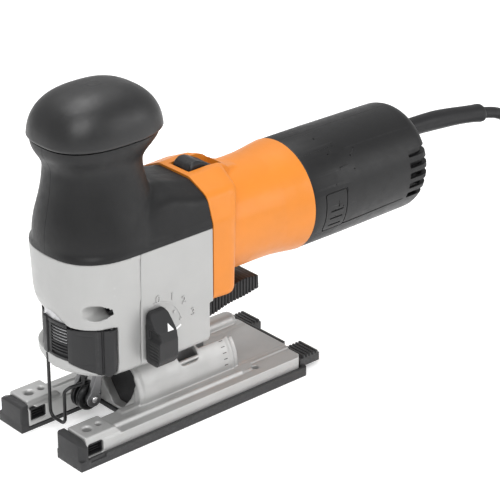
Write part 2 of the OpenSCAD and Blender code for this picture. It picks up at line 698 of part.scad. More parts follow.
// ---------- base ----------
module prong_slot(extra = 0) {
    block([-base_x - 5, -slot_w / 2 - extra, -1], [-slot_end, slot_w / 2 + extra, open]);
}
module base_plate() color([0.78, 0.78, 0.78]) difference() {
    union() {
        block([-plate_front, -prong_out, sole_t + 0.2], [plate_rear, prong_out, plate_top]);
        intersection() {
            xcyl(arch_r, -slot_end, arch_rear, 0, tilt_z, $fn = 96);
            block([-open, -open, sole_t + 1], [open, open, open]);
        }
        both_sides() {
            block([-plate_front + 1, pad_in, plate_top - 1], [-plate_front + 1 + pad_len, prong_out - 2, pad_top]);
            xcyl(1.5, -20, arch_rear + 2, base_w / 2 - 10, plate_top);
        }
    }
    prong_slot();
    xcyl(arch_in, -slot_end - 1, arch_rear - 3, 0, tilt_z, $fn = 96);
    block([-slot_end - 1, -arch_in, 0], [arch_rear - 3, arch_in, tilt_z]);
    block([bolt_x - tilt_slot_w / 2, -arch_r + 2, tilt_z + 8], [bolt_x + tilt_slot_w / 2, arch_r - 2, open]);
    both_sides() {
        block([-fence_x, slot_w / 2 - 1, fence_z], [-fence_x + fence_w, base_w, fence_z + fence_h]);
        translate([-base_x + 12.4, base_w / 2 - 11.6, fence_z + fence_h - 1]) cylinder(r = 2.5, h = 20);
        translate([-base_x + 20.3, base_w / 2 - 11.6, 0]) cylinder(r = 1.7, h = 30);
        translate([49, base_w / 2 - 9.4, 0]) cylinder(r = 2, h = 30);
    }
    both_sides() translate([plate_rear, prong_out, 0]) rotate([0, 0, 45]) block([-3, -4, 0], [3, 4, open]);
}
module glide_shoe() color([0.28, 0.28, 0.29]) difference() {
    union() {
        block([-base_x, -base_w / 2, 0], [base_x, base_w / 2, rim_h]);
        block([-base_x, -base_w / 2, 0], [-base_x + cap_len, base_w / 2, cap_h]);
        block([plate_rear + 0.2, -base_w / 3 - 8, 0], [base_x, base_w / 3 + 8, rim_h + 3]);
        both_sides() {
            block([base_x - 1, tab_y - tab_w / 2, 3.5], [base_x + tab_len, tab_y + tab_w / 2, 8.5]);
            for (k = [0:4]) block([base_x + 1 + 2.4 * k, tab_y - tab_w / 2, 8], [base_x + 2.2 + 2.4 * k, tab_y + tab_w / 2, 10]);
        }
    }
    block([-plate_front - 0.2, -prong_out - 0.2, sole_t], [plate_rear + 0.2, prong_out + 0.2, open]);
    prong_slot();
    both_sides() translate([-base_x, base_w / 2, 0]) rotate([0, 0, -30]) block([-6, -1.6, -1], [10, 10, open]);
    both_sides() {
        translate([-base_x + 20.3, base_w / 2 - 11.6, -1]) cylinder(r = 1.7, h = 30);
    }
}
module base_clamp() color([0.6, 0.6, 0.62]) {
    intersection() {
        xcyl(arch_in - gap, -12, 26, 0, tilt_z, $fn = 96);
        block([-12, -10, tilt_z + 8], [26, 10, open]);
    }
    translate([bolt_x, 0, tilt_z + 4]) cylinder(r = bolt_r, h = body_bottom + wall - tilt_z - 4);
    translate([bolt_x, 0, tilt_z + 4]) cylinder(r = 5, h = 4);
}

// ---------- cord ----------
// rings of points about a route, joined into one closed tube
function along(p, i) = let (a = p[max(i - 1, 0)], b = p[min(i + 1, len(p) - 1)]) (b - a) / norm(b - a);
function ring_at(p, i, r, n, side) =
    let (t = along(p, i), u = cross(t, side) / norm(cross(t, side)), v = cross(u, t))
    [for (k = [0:n - 1]) p[i] + r * (cos(360 * k / n) * u + sin(360 * k / n) * v)];
module tube(p, d, side) closed([for (i = [0:len(p) - 1]) ring_at(p, i, d / 2, 10, side)]);
module strain_relief() color([0.13, 0.13, 0.13]) {
    a = [sleeve_x0, 0, sleeve_z0];
    d = SLEEVE_END - a;
    translate(a) rotate([0, acos(d[2] / norm(d)), 0]) {
        cylinder(r = cord_d / 2 + 2.25, h = norm(d));
        cylinder(r = cord_d / 2 + 3, h = 6);
    }
    xcyl(cord_d / 2 + 5, rear_x - skin - 5, rear_x - skin - 0.2, 0, sleeve_z0);
}
module cord_lead() color([0.1, 0.1, 0.1]) tube(LEAD, cord_d, [0, 1, 0]);
module cord_tail() color([0.1, 0.1, 0.1]) tube(TAIL, cord_d, [0, 1, 0]);
module coil_band(g, z0, z1) {
    translate([coil_c[0], coil_c[1], 0]) rotate_extrude($fn = 72)
        translate([coil_in - g, z0]) square([coil_out - coil_in + 2 * g, z1 - z0]);
}
module cord_coil() color([0.1, 0.1, 0.1]) coil_band(0, tie_t, tie_t + coil_h);
module cord_tie() color([0.14, 0.14, 0.15]) intersection() {
    difference() {
        coil_band(tie_t, 0, coil_h + 2 * tie_t);
        coil_band(0, tie_t, tie_t + coil_h);
    }
    translate([coil_c[0], coil_c[1], 0]) block([-100, -7, -1], [0, 7, open]);
}
module plug_body() color([0.1, 0.1, 0.1]) hull() {
    for (y = [-9.5, 9.5]) translate([plug_x - 42, plug_y + y, plug_z]) rotate([0, 90, 0])
        cylinder(r = plug_half, h = 24, $fn = soft_fn);
    translate([plug_x - 6, plug_y, plug_z]) rotate([0, 90, 0]) cylinder(r = 6, h = 6, $fn = soft_fn);
}
module plug_pins() color([0.8, 0.8, 0.8]) for (y = [-9.5, 9.5])
    xcyl(2.4, plug_x - 61, plug_x - 42, plug_y + y, plug_z);

front_cover();
gear_housing();
handle_left();
handle_right();
knob_cap();
motor_housing();
rear_housing_left();
rear_housing_right();
cover_screws();
handle_screws();
rear_screws();
bearing_plate();
gear_bearing();
front_bearing();
rear_bearing();
rear_bracket();
armature_shaft();
pinion();
armature_core();
armature_windings();
commutator();
fan();
stator_core();
stator_coils();
brush_holders();
carbon_brushes();
drive_gear();
gear_shaft();
crank_pin();
counterweight();
plunger_rod();
yoke();
blade_clamp();
guide_frame();
lower_bush();
upper_bush();
pendulum_arm();
pendulum_pin();
roller_pin();
guide_roller();
selector_knob();
selector_shaft();
release_lever();
lever_pin();
wire_guard();
switch_slider();
switch_module();
base_plate();
glide_shoe();
base_clamp();
lock_lever();
lock_pin();
strain_relief();
cord_lead();
cord_coil();
cord_tail();
cord_tie();
plug_body();
plug_pins();
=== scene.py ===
import json
import math

import bmesh
import bpy
import numpy as np
from mathutils import Matrix, Vector


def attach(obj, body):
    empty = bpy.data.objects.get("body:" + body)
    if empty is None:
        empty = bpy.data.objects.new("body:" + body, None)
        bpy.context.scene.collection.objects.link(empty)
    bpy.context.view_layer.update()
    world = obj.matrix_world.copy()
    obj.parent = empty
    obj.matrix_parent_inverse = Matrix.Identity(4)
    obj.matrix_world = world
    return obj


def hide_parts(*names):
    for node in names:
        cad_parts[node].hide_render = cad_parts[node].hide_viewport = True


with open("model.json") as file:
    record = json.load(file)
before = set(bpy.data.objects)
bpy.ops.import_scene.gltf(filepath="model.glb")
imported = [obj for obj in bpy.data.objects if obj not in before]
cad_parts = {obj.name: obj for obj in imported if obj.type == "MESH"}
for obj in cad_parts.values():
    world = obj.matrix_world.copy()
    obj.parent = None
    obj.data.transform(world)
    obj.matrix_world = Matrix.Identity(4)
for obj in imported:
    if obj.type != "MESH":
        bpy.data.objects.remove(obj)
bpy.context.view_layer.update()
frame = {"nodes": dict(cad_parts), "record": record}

MM = 0.001
SEAM_HALF = 0.08
MOTOR_AXIS = (0, 97)
ARCH_AXIS = (0, 16)
LOCK_AXIS = (18, 48)
PIVOT = (-32, 51)
FLAP_HINGE = (-51.886, -29.314)
SCREW_Y = (-25.5, 25.5)
SCREW_Z = 82


# ---------------------------------------------------------------- workshop tools
def add(name, data):
    """A new object in the scene."""
    obj = bpy.data.objects.new(name, data)
    bpy.context.scene.collection.objects.link(obj)
    return obj


def make(name, points, faces):
    """A mesh object from points in millimetres, with its faces turned outwards."""
    mesh = bpy.data.meshes.new(name)
    mesh.from_pydata((np.array(points, float) * MM).tolist(), [], faces)
    work = bmesh.new()
    work.from_mesh(mesh)
    bmesh.ops.recalc_face_normals(work, faces=work.faces)
    work.to_mesh(mesh)
    work.free()
    return add(name, mesh)


def loft(name, rings):
    """A closed skin through rings of equal numbers of points."""
    count = len(rings[0])
    points = [p for ring in rings for p in ring]
    faces = []
    for low in range(0, (len(rings) - 1) * count, count):
        for k in range(count):
            j = (k + 1) % count
            faces.append([low + k, low + j, low + count + j, low + count + k])
    faces.append(list(range(count))[::-1])
    faces.append([(len(rings) - 1) * count + k for k in range(count)])
    return make(name, points, faces)


def in_space(u, v, w, axis):
    """Point (u, v) of a flat drawing, at depth w along the axis."""
    if axis == "X":
        return (w, u, v)
    if axis == "Y":
        return (u, w, v)
    return (u, v, w)


def level(outline, z):
    return [(x, y, z) for x, y in outline]


def section(outline, x):
    return [(x, y, z) for y, z in outline]


def prism(name, outline, low, high, axis="Z"):
    return loft(name, [[in_space(u, v, w, axis) for u, v in outline] for w in (low, high)])


def block(name, low, high):
    x0, y0, z0 = low
    x1, y1, z1 = high
    return prism(name, [(x0, y0), (x1, y0), (x1, y1), (x0, y1)], z0, z1)


def above(z):
    return block("above", (-60, -60, z), (60, 60, 60))


def circle(radius, count=48, centre=(0, 0)):
    turn = 2 * math.pi / count
    return [(centre[0] + radius * math.cos(k * turn), centre[1] + radius * math.sin(k * turn))
            for k in range(count)]


def rod(name, radius, low, high, centre, axis, count=48):
    return prism(name, circle(radius, count, centre), low, high, axis)


def turned(name, profile, centre=(0, 0), axis="X", count=128):
    """A turned solid: profile is (place along the axis, radius)."""
    rings = []
    for along, radius in profile:
        rings.append([in_space(u, v, along, axis) for u, v in circle(max(radius, 0.01), count, centre)])
    return loft(name, rings)


def rounded(corners, radius, steps=6):
    """A polygon with each corner rounded; radius is one number or one for each corner."""
    out = []
    count = len(corners)
    for i, corner in enumerate(corners):
        size = radius[i] if isinstance(radius, (list, tuple)) else radius
        here = np.array(corner, float)
        back = np.array(corners[i - 1], float) - here
        ahead = np.array(corners[(i + 1) % count], float) - here
        back_len = np.linalg.norm(back)
        ahead_len = np.linalg.norm(ahead)
        if size <= 0:
            out.append(tuple(here))
            continue
        back /= back_len
        ahead /= ahead_len
        half = math.acos(max(-1, min(1, float(back @ ahead)))) / 2
        reach = min(size / math.tan(half), back_len * 0.49, ahead_len * 0.49)
        a = here + back * reach
        b = here + ahead * reach
        for k in range(steps + 1):
            t = k / steps
            out.append(tuple((1 - t) ** 2 * a + 2 * t * (1 - t) * here + t ** 2 * b))
    return out


def curve_through(keys, count):
    """Smooth rows between keyed rows: the first column is the place along, the rest are values."""
    keys = np.array(keys, float)
    along = np.linspace(keys[0, 0], keys[-1, 0], count)
    slope = np.gradient(keys, keys[:, 0], axis=0)
    rows = []
    for s in along:
        i = min(max(np.searchsorted(keys[:, 0], s) - 1, 0), len(keys) - 2)
        span = keys[i + 1, 0] - keys[i, 0]
        t = (s - keys[i, 0]) / span
        a = 2 * t ** 3 - 3 * t ** 2 + 1
        b = t ** 3 - 2 * t ** 2 + t
        c = -2 * t ** 3 + 3 * t ** 2
        d = t ** 3 - t ** 2
        rows.append(a * keys[i] + b * span * slope[i] + c * keys[i + 1] + d * span * slope[i + 1])
    return rows


def oval(cx, cy, a, b, power, count):
    """A superellipse seen from above."""
    out = []
    for k in range(count):
        t = 2 * math.pi * k / count
        c = math.cos(t)
        s = math.sin(t)
        r = (abs(c) ** power + abs(s) ** power) ** (-1 / power)
        out.append((cx + a * r * c, cy + b * r * s))
    return out


def settle(obj):
    """Turns an object with its modifiers into a plain mesh object of the same name."""
    graph = bpy.context.evaluated_depsgraph_get()
    mesh = bpy.data.meshes.new_from_object(obj.evaluated_get(graph))
    name = obj.name
    bpy.data.objects.remove(obj)
    mesh.name = name
    return add(name, mesh)


def combine(base, how, *tools):
    """Cuts, joins or keeps the common part, then clears the tools away."""
    for tool in tools:
        change = base.modifiers.new("work", "BOOLEAN")
        change.object = tool
        change.operation = how
        change.solver = "MANIFOLD"
    out = settle(base)
    for tool in tools:
        bpy.data.objects.remove(tool)
    return out


def cut(base, *tools):
    return combine(base, "DIFFERENCE", *tools)


def fuse(base, *tools):
    return combine(base, "UNION", *tools)


def keep(base, *tools):
    return combine(base, "INTERSECT", *tools)


def soften(obj, grid, passes=3):
    """Re-skins a solid on a fine grid and eases its edges, as casting or moulding does."""
    skin = obj.modifiers.new("skin", "REMESH")
    skin.mode = "VOXEL"
    skin.voxel_size = grid * MM
    skin.use_smooth_shade = True
    ease = obj.modifiers.new("ease", "SMOOTH")
    ease.factor = 0.5
    ease.iterations = passes
    return settle(obj)


def bevelled(obj, width=0.5, segments=3, angle=35):
    edge = obj.modifiers.new("edge", "BEVEL")
    edge.width = width * MM
    edge.segments = segments
    edge.limit_method = "ANGLE"
    edge.angle_limit = math.radians(angle)
    edge.harden_normals = False
    return settle(obj)


def copy_of(obj, name):
    out = obj.copy()
    out.data = obj.data.copy()
    out.name = name
    bpy.context.scene.collection.objects.link(out)
    return out


def shift(obj, x=0, y=0, z=0):
    obj.data.transform(Matrix.Translation(Vector((x, y, z)) * MM))
    return obj


def finish_piece(obj, body, slot, replaced=(), sharp=32, name=None, material=None):
    """Smooth shading, material, and the piece's place in the frame."""
    obj.name = name or obj.name
    obj.data.shade_smooth()
    obj.data.set_sharp_from_angle(angle=math.radians(sharp))
    obj.data.materials.clear()
    obj.data.materials.append(material or FINISH[slot])
    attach(obj, body)
    if replaced:
        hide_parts(*replaced)
    return obj


def in_halves(shell, name, node, ends, slot):
    """Splits a shell along its middle into a near and a far half, with a fine seam."""
    for low, high, side, hand in ((-60, -SEAM_HALF, "near", "left"), (SEAM_HALF, 60, "far", "right")):
        half = keep(copy_of(shell, f"{name}_{side}"), block("side", (ends[0], low, 40), (ends[1], high, 180)))
        finish_piece(half, "body", slot, [f"{node}_{hand}"], 40)
    bpy.data.objects.remove(shell)


# ---------------------------------------------------------------- repeating by nodes
def copies_tree(name, input_name):
    """A node group that repeats its own mesh and gives it a material.

    Step sets the way from copy to copy, and Turn the angle between them about the origin.
    """
    tree = bpy.data.node_groups.new(name, "GeometryNodeTree")
    for label, way, kind in (("Geometry", "INPUT", "Geometry"), ("Count", "INPUT", "Int"),
                             (input_name, "INPUT", "Vector"), ("Finish", "INPUT", "Material"),
                             ("Geometry", "OUTPUT", "Geometry")):
        tree.interface.new_socket(label, in_out=way, socket_type="NodeSocket" + kind)
    new = tree.nodes.new
    link = tree.links.new
    entry = new("NodeGroupInput")
    row = new("GeometryNodeMeshLine")
    row.mode = "OFFSET"
    place = new("GeometryNodeInstanceOnPoints")
    real = new("GeometryNodeRealizeInstances")
    paint = new("GeometryNodeSetMaterial")
    leave = new("NodeGroupOutput")
    link(entry.outputs["Count"], row.inputs["Count"])
    if input_name == "Step":
        link(entry.outputs["Step"], row.inputs["Offset"])
    else:
        row.inputs["Offset"].default_value = (0, 0, 0)
        index = new("GeometryNodeInputIndex")
        turn = new("ShaderNodeVectorMath")
        turn.operation = "SCALE"
        link(entry.outputs["Turn"], turn.inputs[0])
        link(index.outputs[0], turn.inputs["Scale"])
        link(turn.outputs[0], place.inputs["Rotation"])
    link(row.outputs["Mesh"], place.inputs["Points"])
    link(entry.outputs["Geometry"], place.inputs["Instance"])
    link(place.outputs["Instances"], real.inputs["Geometry"])
    link(real.outputs["Geometry"], paint.inputs["Geometry"])
    link(entry.outputs["Finish"], paint.inputs["Material"])
    link(paint.outputs["Geometry"], leave.inputs[0])
    return tree


ROW = copies_tree("row_of_copies", "Step")
RING = copies_tree("ring_of_copies", "Turn")


def repeated(unit, tree, count, vector, material=None):
    """Runs one of the two node groups on a unit, and keeps the result as a plain mesh."""
    change = unit.modifiers.new("copies", "NODES")
    change.node_group = tree
    for item in tree.interface.items_tree:
        if item.in_out == "OUTPUT":
            continue
        if item.name == "Count":
            change[item.identifier] = count
        if item.name in ("Step", "Turn"):
            scale = MM if item.name == "Step" else 1.0
            change[item.identifier] = [c * scale for c in vector]
        if item.name == "Finish" and material:
            change[item.identifier] = material
    return settle(unit)


# ---------------------------------------------------------------- finishes
def finish(name, colour, rough, metal=0.0, coat=0.0, grain=0.0, grain_size=0.4, tint=0.06,
           edge_wear_and_highlight=0.0, soft_edge=0.0, speckle=0.0, brushed=None, spec=0.5):
    """A procedural finish: colour drift, fine grain, uneven gloss, and convex edges lightened by pointiness:
    rubbed wear and a painted edge highlight.
    """
    mat = bpy.data.materials.new(name)
    mat.use_nodes = True
    mat.diffuse_color = (*colour, 1)
    nodes = mat.node_tree.nodes

    def fill(node, inputs):
        """Links each input to the socket given for it, or sets it to the value."""
        for place, value in inputs.items():
            if isinstance(value, bpy.types.NodeSocket):
                mat.node_tree.links.new(value, node.inputs[place])
            else:
                node.inputs[place].default_value = value

    def made(kind, output, inputs, **settings):
        node = nodes.new("ShaderNode" + kind)
        for key, value in settings.items():
            setattr(node, key, value)
        fill(node, inputs)
        return node.outputs[output]

    where = made("TexCoord", "Object", {})
    source = made("Mapping", "Vector", {"Scale": brushed, "Vector": where}) if brushed else where

    def noise(size, detail=3.0, lively=0.55, vector=source):
        return made("TexNoise", "Fac", {"Scale": 1 / (size * MM), "Detail": detail, "Roughness": lively,
                                        "Vector": vector})

    def ranged(value, low, high, start=0.3, stop=0.7):
        return made("MapRange", "Result", {"From Min": start, "From Max": stop, "To Min": low,
                                           "To Max": high, "Value": value})

    def blended(amount, first, second):
        return made("Mix", 2, {0: amount, 6: first, 7: second}, data_type="RGBA")

    def lighter(gain, lift):
        return (*[min(1, c * gain + lift) for c in colour], 1)

    shade = blended(ranged(noise(14, 4.0, 0.5, where), 0, 1), lighter(1 - tint, 0), lighter(1 + tint, 0))
    if speckle:
        fine = ranged(noise(grain_size * 0.9, 2.0, 0.6), 0, speckle, 0.58, 0.72)
        shade = blended(fine, shade, lighter(1.5, 0.03))
    # Convex edges are lightened through the pointiness mask: partly rubbed wear, partly a painted highlight
    # on the edges.
    if edge_wear_and_highlight:
        edge = ranged(made("NewGeometry", "Pointiness", {}), 0, edge_wear_and_highlight, 0.53, 0.62)
        patchy = ranged(noise(1.6, 5.0, 0.7, where), 0.2, 1, 0.42, 0.6)
        worn_and_highlit_edges = made("Math", 0, {0: edge, 1: patchy}, operation="MULTIPLY")
        shade = blended(worn_and_highlit_edges, shade, lighter(1.35, 0.05))
    bump = {"Strength": min(1.0, max(grain, 0.02)), "Distance": 0.12 * MM,
            "Height": noise(grain_size, 4.0, 0.6)}
    if soft_edge:
        bump["Normal"] = made("Bevel", "Normal", {"Radius": soft_edge * MM}, samples=4)
    gloss = ranged(noise(5.0, 5.0, 0.6, where), rough * 0.86, min(1, rough * 1.14))
    fill(nodes["Principled BSDF"], {"Base Color": shade, "Roughness": gloss, "Metallic": metal,
                                    "Coat Weight": coat, "Coat Roughness": 0.12,
                                    "Specular IOR Level": spec, "Normal": made("Bump", "Normal", bump)})
    return mat


FINISH = {
    "silver_housing": finish("satin_silver_paint", (0.37, 0.37, 0.365), 0.42, metal=0.25, grain=0.10,
                             grain_size=0.35, tint=0.02, edge_wear_and_highlight=0.25, coat=0.15),
    "cast_base": finish("blasted_cast_aluminium", (0.43, 0.43, 0.425), 0.40, metal=0.45, grain=0.30,
                        grain_size=0.5, tint=0.05, edge_wear_and_highlight=0.6),
    "inner_casting": finish("raw_casting", (0.50, 0.50, 0.51), 0.5, metal=0.8, grain=0.5, grain_size=0.6,
                            tint=0.08, edge_wear_and_highlight=0.4, soft_edge=0.3),
    "soft_grip": finish("soft_grip_rubber", (0.0075, 0.0075, 0.008), 0.46, grain=0.45, grain_size=0.30,
                        tint=0.10, edge_wear_and_highlight=0.12, speckle=0.05, spec=0.3),
    "orange_shell": finish("orange_moulding", (0.63, 0.200, 0.018), 0.42, coat=0.08, grain=0.12,
                           grain_size=0.45, tint=0.035, edge_wear_and_highlight=0.12, spec=0.35),
    "black_shell": finish("eroded_black_moulding", (0.0075, 0.0075, 0.008), 0.42, grain=0.40,
                          grain_size=0.35, tint=0.10, edge_wear_and_highlight=0.15, speckle=0.06, spec=0.32),
    "dark_plastic": finish("dark_moulding", (0.013, 0.013, 0.014), 0.45, grain=0.35, grain_size=0.4,
                           tint=0.08, edge_wear_and_highlight=0.2, soft_edge=0.3, spec=0.35),
    "grey_shoe": finish("grey_glide_plastic", (0.030, 0.030, 0.031), 0.50, grain=0.35, grain_size=0.5,
                        tint=0.08, edge_wear_and_highlight=0.3, soft_edge=0.25, spec=0.3),
    "steel": finish("ground_steel", (0.20, 0.20, 0.205), 0.30, metal=1.0, grain=0.25, grain_size=0.5,
                    tint=0.05, edge_wear_and_highlight=0.3, soft_edge=0.15, brushed=(1, 12, 12)),
    "bright_pin": finish("polished_pin", (0.72, 0.72, 0.73), 0.16, metal=1.0, grain=0.05, grain_size=0.6,
                         tint=0.02, soft_edge=0.15),
    "black_steel": finish("blackened_steel", (0.014, 0.014, 0.015), 0.32, metal=0.4, grain=0.2,
                          grain_size=0.4, tint=0.15, edge_wear_and_highlight=0.6, soft_edge=0.1),
    "core_steel": finish("laminated_core", (0.26, 0.26, 0.27), 0.4, metal=0.9, grain=0.8, grain_size=0.7,
                         tint=0.1, edge_wear_and_highlight=0.3, brushed=(10, 1, 1), soft_edge=0.15),
    "copper": finish("enamelled_copper", (0.58, 0.23, 0.08), 0.28, metal=0.9, grain=0.8, grain_size=0.6,
                     tint=0.12, brushed=(1, 1, 8), coat=0.3, soft_edge=0.5),
    "bronze": finish("sintered_bronze", (0.52, 0.33, 0.13), 0.45, metal=0.9, grain=0.5, grain_size=0.3,
                     tint=0.08, soft_edge=0.15),
    "carbon": finish("pressed_carbon", (0.02, 0.02, 0.02), 0.6, grain=0.4, grain_size=0.3, soft_edge=0.2),
    "cord_rubber": finish("cord_rubber", (0.010, 0.010, 0.011), 0.44, grain=0.3, grain_size=0.5,
                          tint=0.12, edge_wear_and_highlight=0.1, speckle=0.05, spec=0.3),
    "strap": finish("woven_strap", (0.03, 0.03, 0.032), 0.7, grain=1.0, grain_size=0.7, tint=0.15,
                    brushed=(1, 3, 1), soft_edge=0.2),
}
KNOB = finish("knob_rubber", (0.0075, 0.0075, 0.008), 0.41, grain=0.45, grain_size=0.30, tint=0.10,
              edge_wear_and_highlight=0.12, speckle=0.05, spec=0.5)
WHITE = finish("white_marking", (0.80, 0.80, 0.80), 0.45, grain=0.1, grain_size=0.3, tint=0.02)


def dress_frame():
    """Gives every frame part that stays in view the finish of its own slot."""
    slots = {row["node"]: row["material_slot"] for row in frame["record"]["subparts"]}
    for name, obj in frame["nodes"].items():
        obj.data.materials.clear()
        obj.data.materials.append(FINISH[slots[name]])


# ---------------------------------------------------------------- camera and light
def place_camera():
    lens = bpy.data.cameras.new("camera")
    lens.lens = 153.2
    lens.sensor_width = 36
    lens.clip_end = 20
    camera = add("camera", lens)
    turn = math.radians(-41.27)
    lift = math.radians(25.57)
    back = Vector((math.sin(turn) * math.cos(lift), -math.cos(turn) * math.cos(lift), math.sin(lift)))
    camera.location = (-0.64115, -0.80942, 0.58376)
    camera.rotation_mode = "QUATERNION"
    camera.rotation_quaternion = (-back).to_track_quat("-Z", "Y")
    bpy.context.scene.camera = camera


def lamp(name, place, aim, size, power):
    light = bpy.data.lights.new(name, "AREA")
    light.energy = power
    light.size = size
    obj = add(name, light)
    obj.location = place
    way = Vector(aim) - Vector(place)
    obj.rotation_mode = "QUATERNION"
    obj.rotation_quaternion = way.to_track_quat("-Z", "Y")


def studio():
    world = bpy.data.worlds.new("studio")
    world.use_nodes = True
    world.node_tree.nodes["Background"].inputs["Color"].default_value = (1, 1, 1, 1)
    world.node_tree.nodes["Background"].inputs["Strength"].default_value = 0.62
    bpy.context.scene.world = world
    bpy.context.scene.view_settings.view_transform = "Standard"
    lamp("key", (-0.7, -0.9, 1.3), (0, 0, 0.08), 0.9, 15)
    lamp("side", (1.0, -1.1, 0.6), (0.05, 0, 0.1), 0.7, 5)
    lamp("top", (0.1, 0.35, 1.5), (0.03, 0, 0.1), 1.0, 13)
    floor = make("floor", [(-4000, -4000, 0), (4000, -4000, 0), (4000, 4000, 0), (-4000, 4000, 0)],
                 [[0, 1, 2, 3]])
    paint = finish("pale_floor", (0.90, 0.90, 0.90), 0.6, tint=0.01)
    shader = paint.node_tree.nodes["Principled BSDF"]
    shader.inputs["Emission Color"].default_value = (1, 1, 1, 1)
    shader.inputs["Emission Strength"].default_value = 0.32
    floor.data.materials.append(paint)


# ---------------------------------------------------------------- cord
CORD_D = 7.0
SLEEVE_START = (178, 0, 109)
SLEEVE_END = (256, 0, 102)
COIL_CENTRE = (350, -30)
COIL_OUT = 52.8
COIL_IN = 31.2
PITCH = 7.2
LOW_LAYER = 4.7
TOP_LAYER = 11.9
LEAD = [(256, 0, 102), (269.2, 0.3, 98.3), (280.8, 1.5, 92.1), (290.9, 3.5, 83.6), (298.4, 5.8, 74.2),
        (304, 8.6, 63.5), (311.7, 13.4, 44.4), (319.4, 18.2, 25.4), (324.4, 20.2, 16.9),
        (331.5, 21.8, 10.3), (340.4, 22.6, 6.1)]
TAIL = [(400.9, -40.9, 14.2), (395.3, -50.6, 18.0), (386.8, -57.7, 21.3), (376.4, -61.5, 23.6),
        (366, -62, 24.1)]
COIL_TURNS = 7.25


def coil_point(turns):
    """Point on the two-layer coil after so many turns: inwards below, then outwards on top."""
    if turns < 0.5:
        radius, height = COIL_OUT, LOW_LAYER
    elif turns < 3.5:
        radius, height = COIL_OUT - PITCH * (turns - 0.5), LOW_LAYER
    elif turns < 4:
        part = (turns - 3.5) * 2
        radius = COIL_IN - 0.9 * math.sin(math.pi * part)
        height = LOW_LAYER + PITCH * (3 * part ** 2 - 2 * part ** 3)
    elif turns < 7:
        radius, height = COIL_IN + PITCH * (turns - 4), TOP_LAYER
    else:
        radius, height = COIL_OUT, TOP_LAYER
    angle = math.pi / 2 - 2 * math.pi * turns
    return (COIL_CENTRE[0] + radius * math.cos(angle), COIL_CENTRE[1] + radius * math.sin(angle), height)


def smooth_line(points, per_span):
    """A smooth line through every point."""
    pts = [np.array(p, float) for p in points]
    pts = [2 * pts[0] - pts[1]] + pts + [2 * pts[-1] - pts[-2]]
    out = []
    for i in range(1, len(pts) - 2):
        for k in range(per_span):
            t = k / per_span
            out.append(0.5 * (2 * pts[i] + (pts[i + 1] - pts[i - 1]) * t
                              + (2 * pts[i - 1] - 5 * pts[i] + 4 * pts[i + 1] - pts[i + 2]) * t ** 2
                              + (3 * pts[i] - pts[i - 1] - 3 * pts[i + 1] + pts[i + 2]) * t ** 3))
    out.append(pts[-2])
    return [tuple(p) for p in out]


def lay_cord():
    steps = 261
    wound = [coil_point(COIL_TURNS * k / steps) for k in range(steps + 1)]
    lead = smooth_line(LEAD + wound[:1], 4)
    tail = smooth_line(wound[-1:] + TAIL, 5)
    line = lead[:-1] + wound + tail[1:]
    curve = bpy.data.curves.new("mains_cord", "CURVE")
    curve.dimensions = "3D"
    spline = curve.splines.new("POLY")
    spline.points.add(len(line) - 1)
    for point, place in zip(spline.points, line):
        point.co = (*[c * MM for c in place], 1)
    curve.bevel_depth = CORD_D / 2 * MM
    curve.bevel_resolution = 6
    curve.use_fill_caps = True
    curve.materials.append(FINISH["cord_rubber"])
    cord = add("mains_cord", curve)
    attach(cord, "body")
    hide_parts("cord_lead", "cord_coil", "cord_tail")
    place = np.array(line)


def sleeve():
    """The long moulded sleeve: nearly even, sagging a little, with a rounded lip at its end."""
    start = np.array(SLEEVE_START, float)
    end = np.array(SLEEVE_END, float)
    span = end - start
    keys = [(0, 6.6), (0.05, 6.3), (0.10, 5.95), (0.5, 5.8), (0.93, 5.6), (0.965, 5.75), (0.985, 5.4),
            (1.0, 4.2)]
    rings = []
    for row in curve_through([(k, r) for k, r in keys], 60):
        t, radius = row
        centre = start + span * t
        centre[2] += 2.2 * math.sin(math.pi * t)
        rings.append([(centre[0], centre[1] + u, centre[2] + v) for u, v in circle(radius, 40)])
    out = loft("sleeve", rings)
    flange = turned("flange", [(172.6, 5.0), (172.8, 8.4), (178.6, 8.4), (178.8, 5.0)], (0, 109), "X", 40)
    out = fuse(out, flange)
    finish_piece(out, "body", "cord_rubber", ["strain_relief"], 40)


# ---------------------------------------------------------------- handle
KNOB_X = -36.2
KNOB_HALF = (35.4, 28.3)
KNOB_FOOT = 168.4
KNOB_TOP = 195.4


def knob_ring(z, grow):
    return level(oval(KNOB_X, 0, KNOB_HALF[0] * grow, KNOB_HALF[1] * grow, 2.6, 128), z)


def knob():
    """Palm knob: a broad crowned cap on a rounded-rectangle plan, with a rolled lower edge."""
    rings = []
    for z, grow in ((170.0, 0.962), (170.25, 0.978), (170.7, 0.990), (171.4, 0.9985)):
        rings.append(knob_ring(z, grow))
    for k in range(1, 49):
        up = math.sin(math.pi / 2 * (0.07 + 0.93 * k / 48))
        grow = max(0.004, (1 - up ** 2.35)) ** (1 / 2.49)
        z = KNOB_FOOT + (KNOB_TOP - KNOB_FOOT) * up
        if z < 171.9:
            continue
        rings.append(knob_ring(z, grow))
    out = loft("palm_knob", rings)
    finish_piece(out, "body", "soft_grip", ["knob_cap"], 50, material=KNOB)


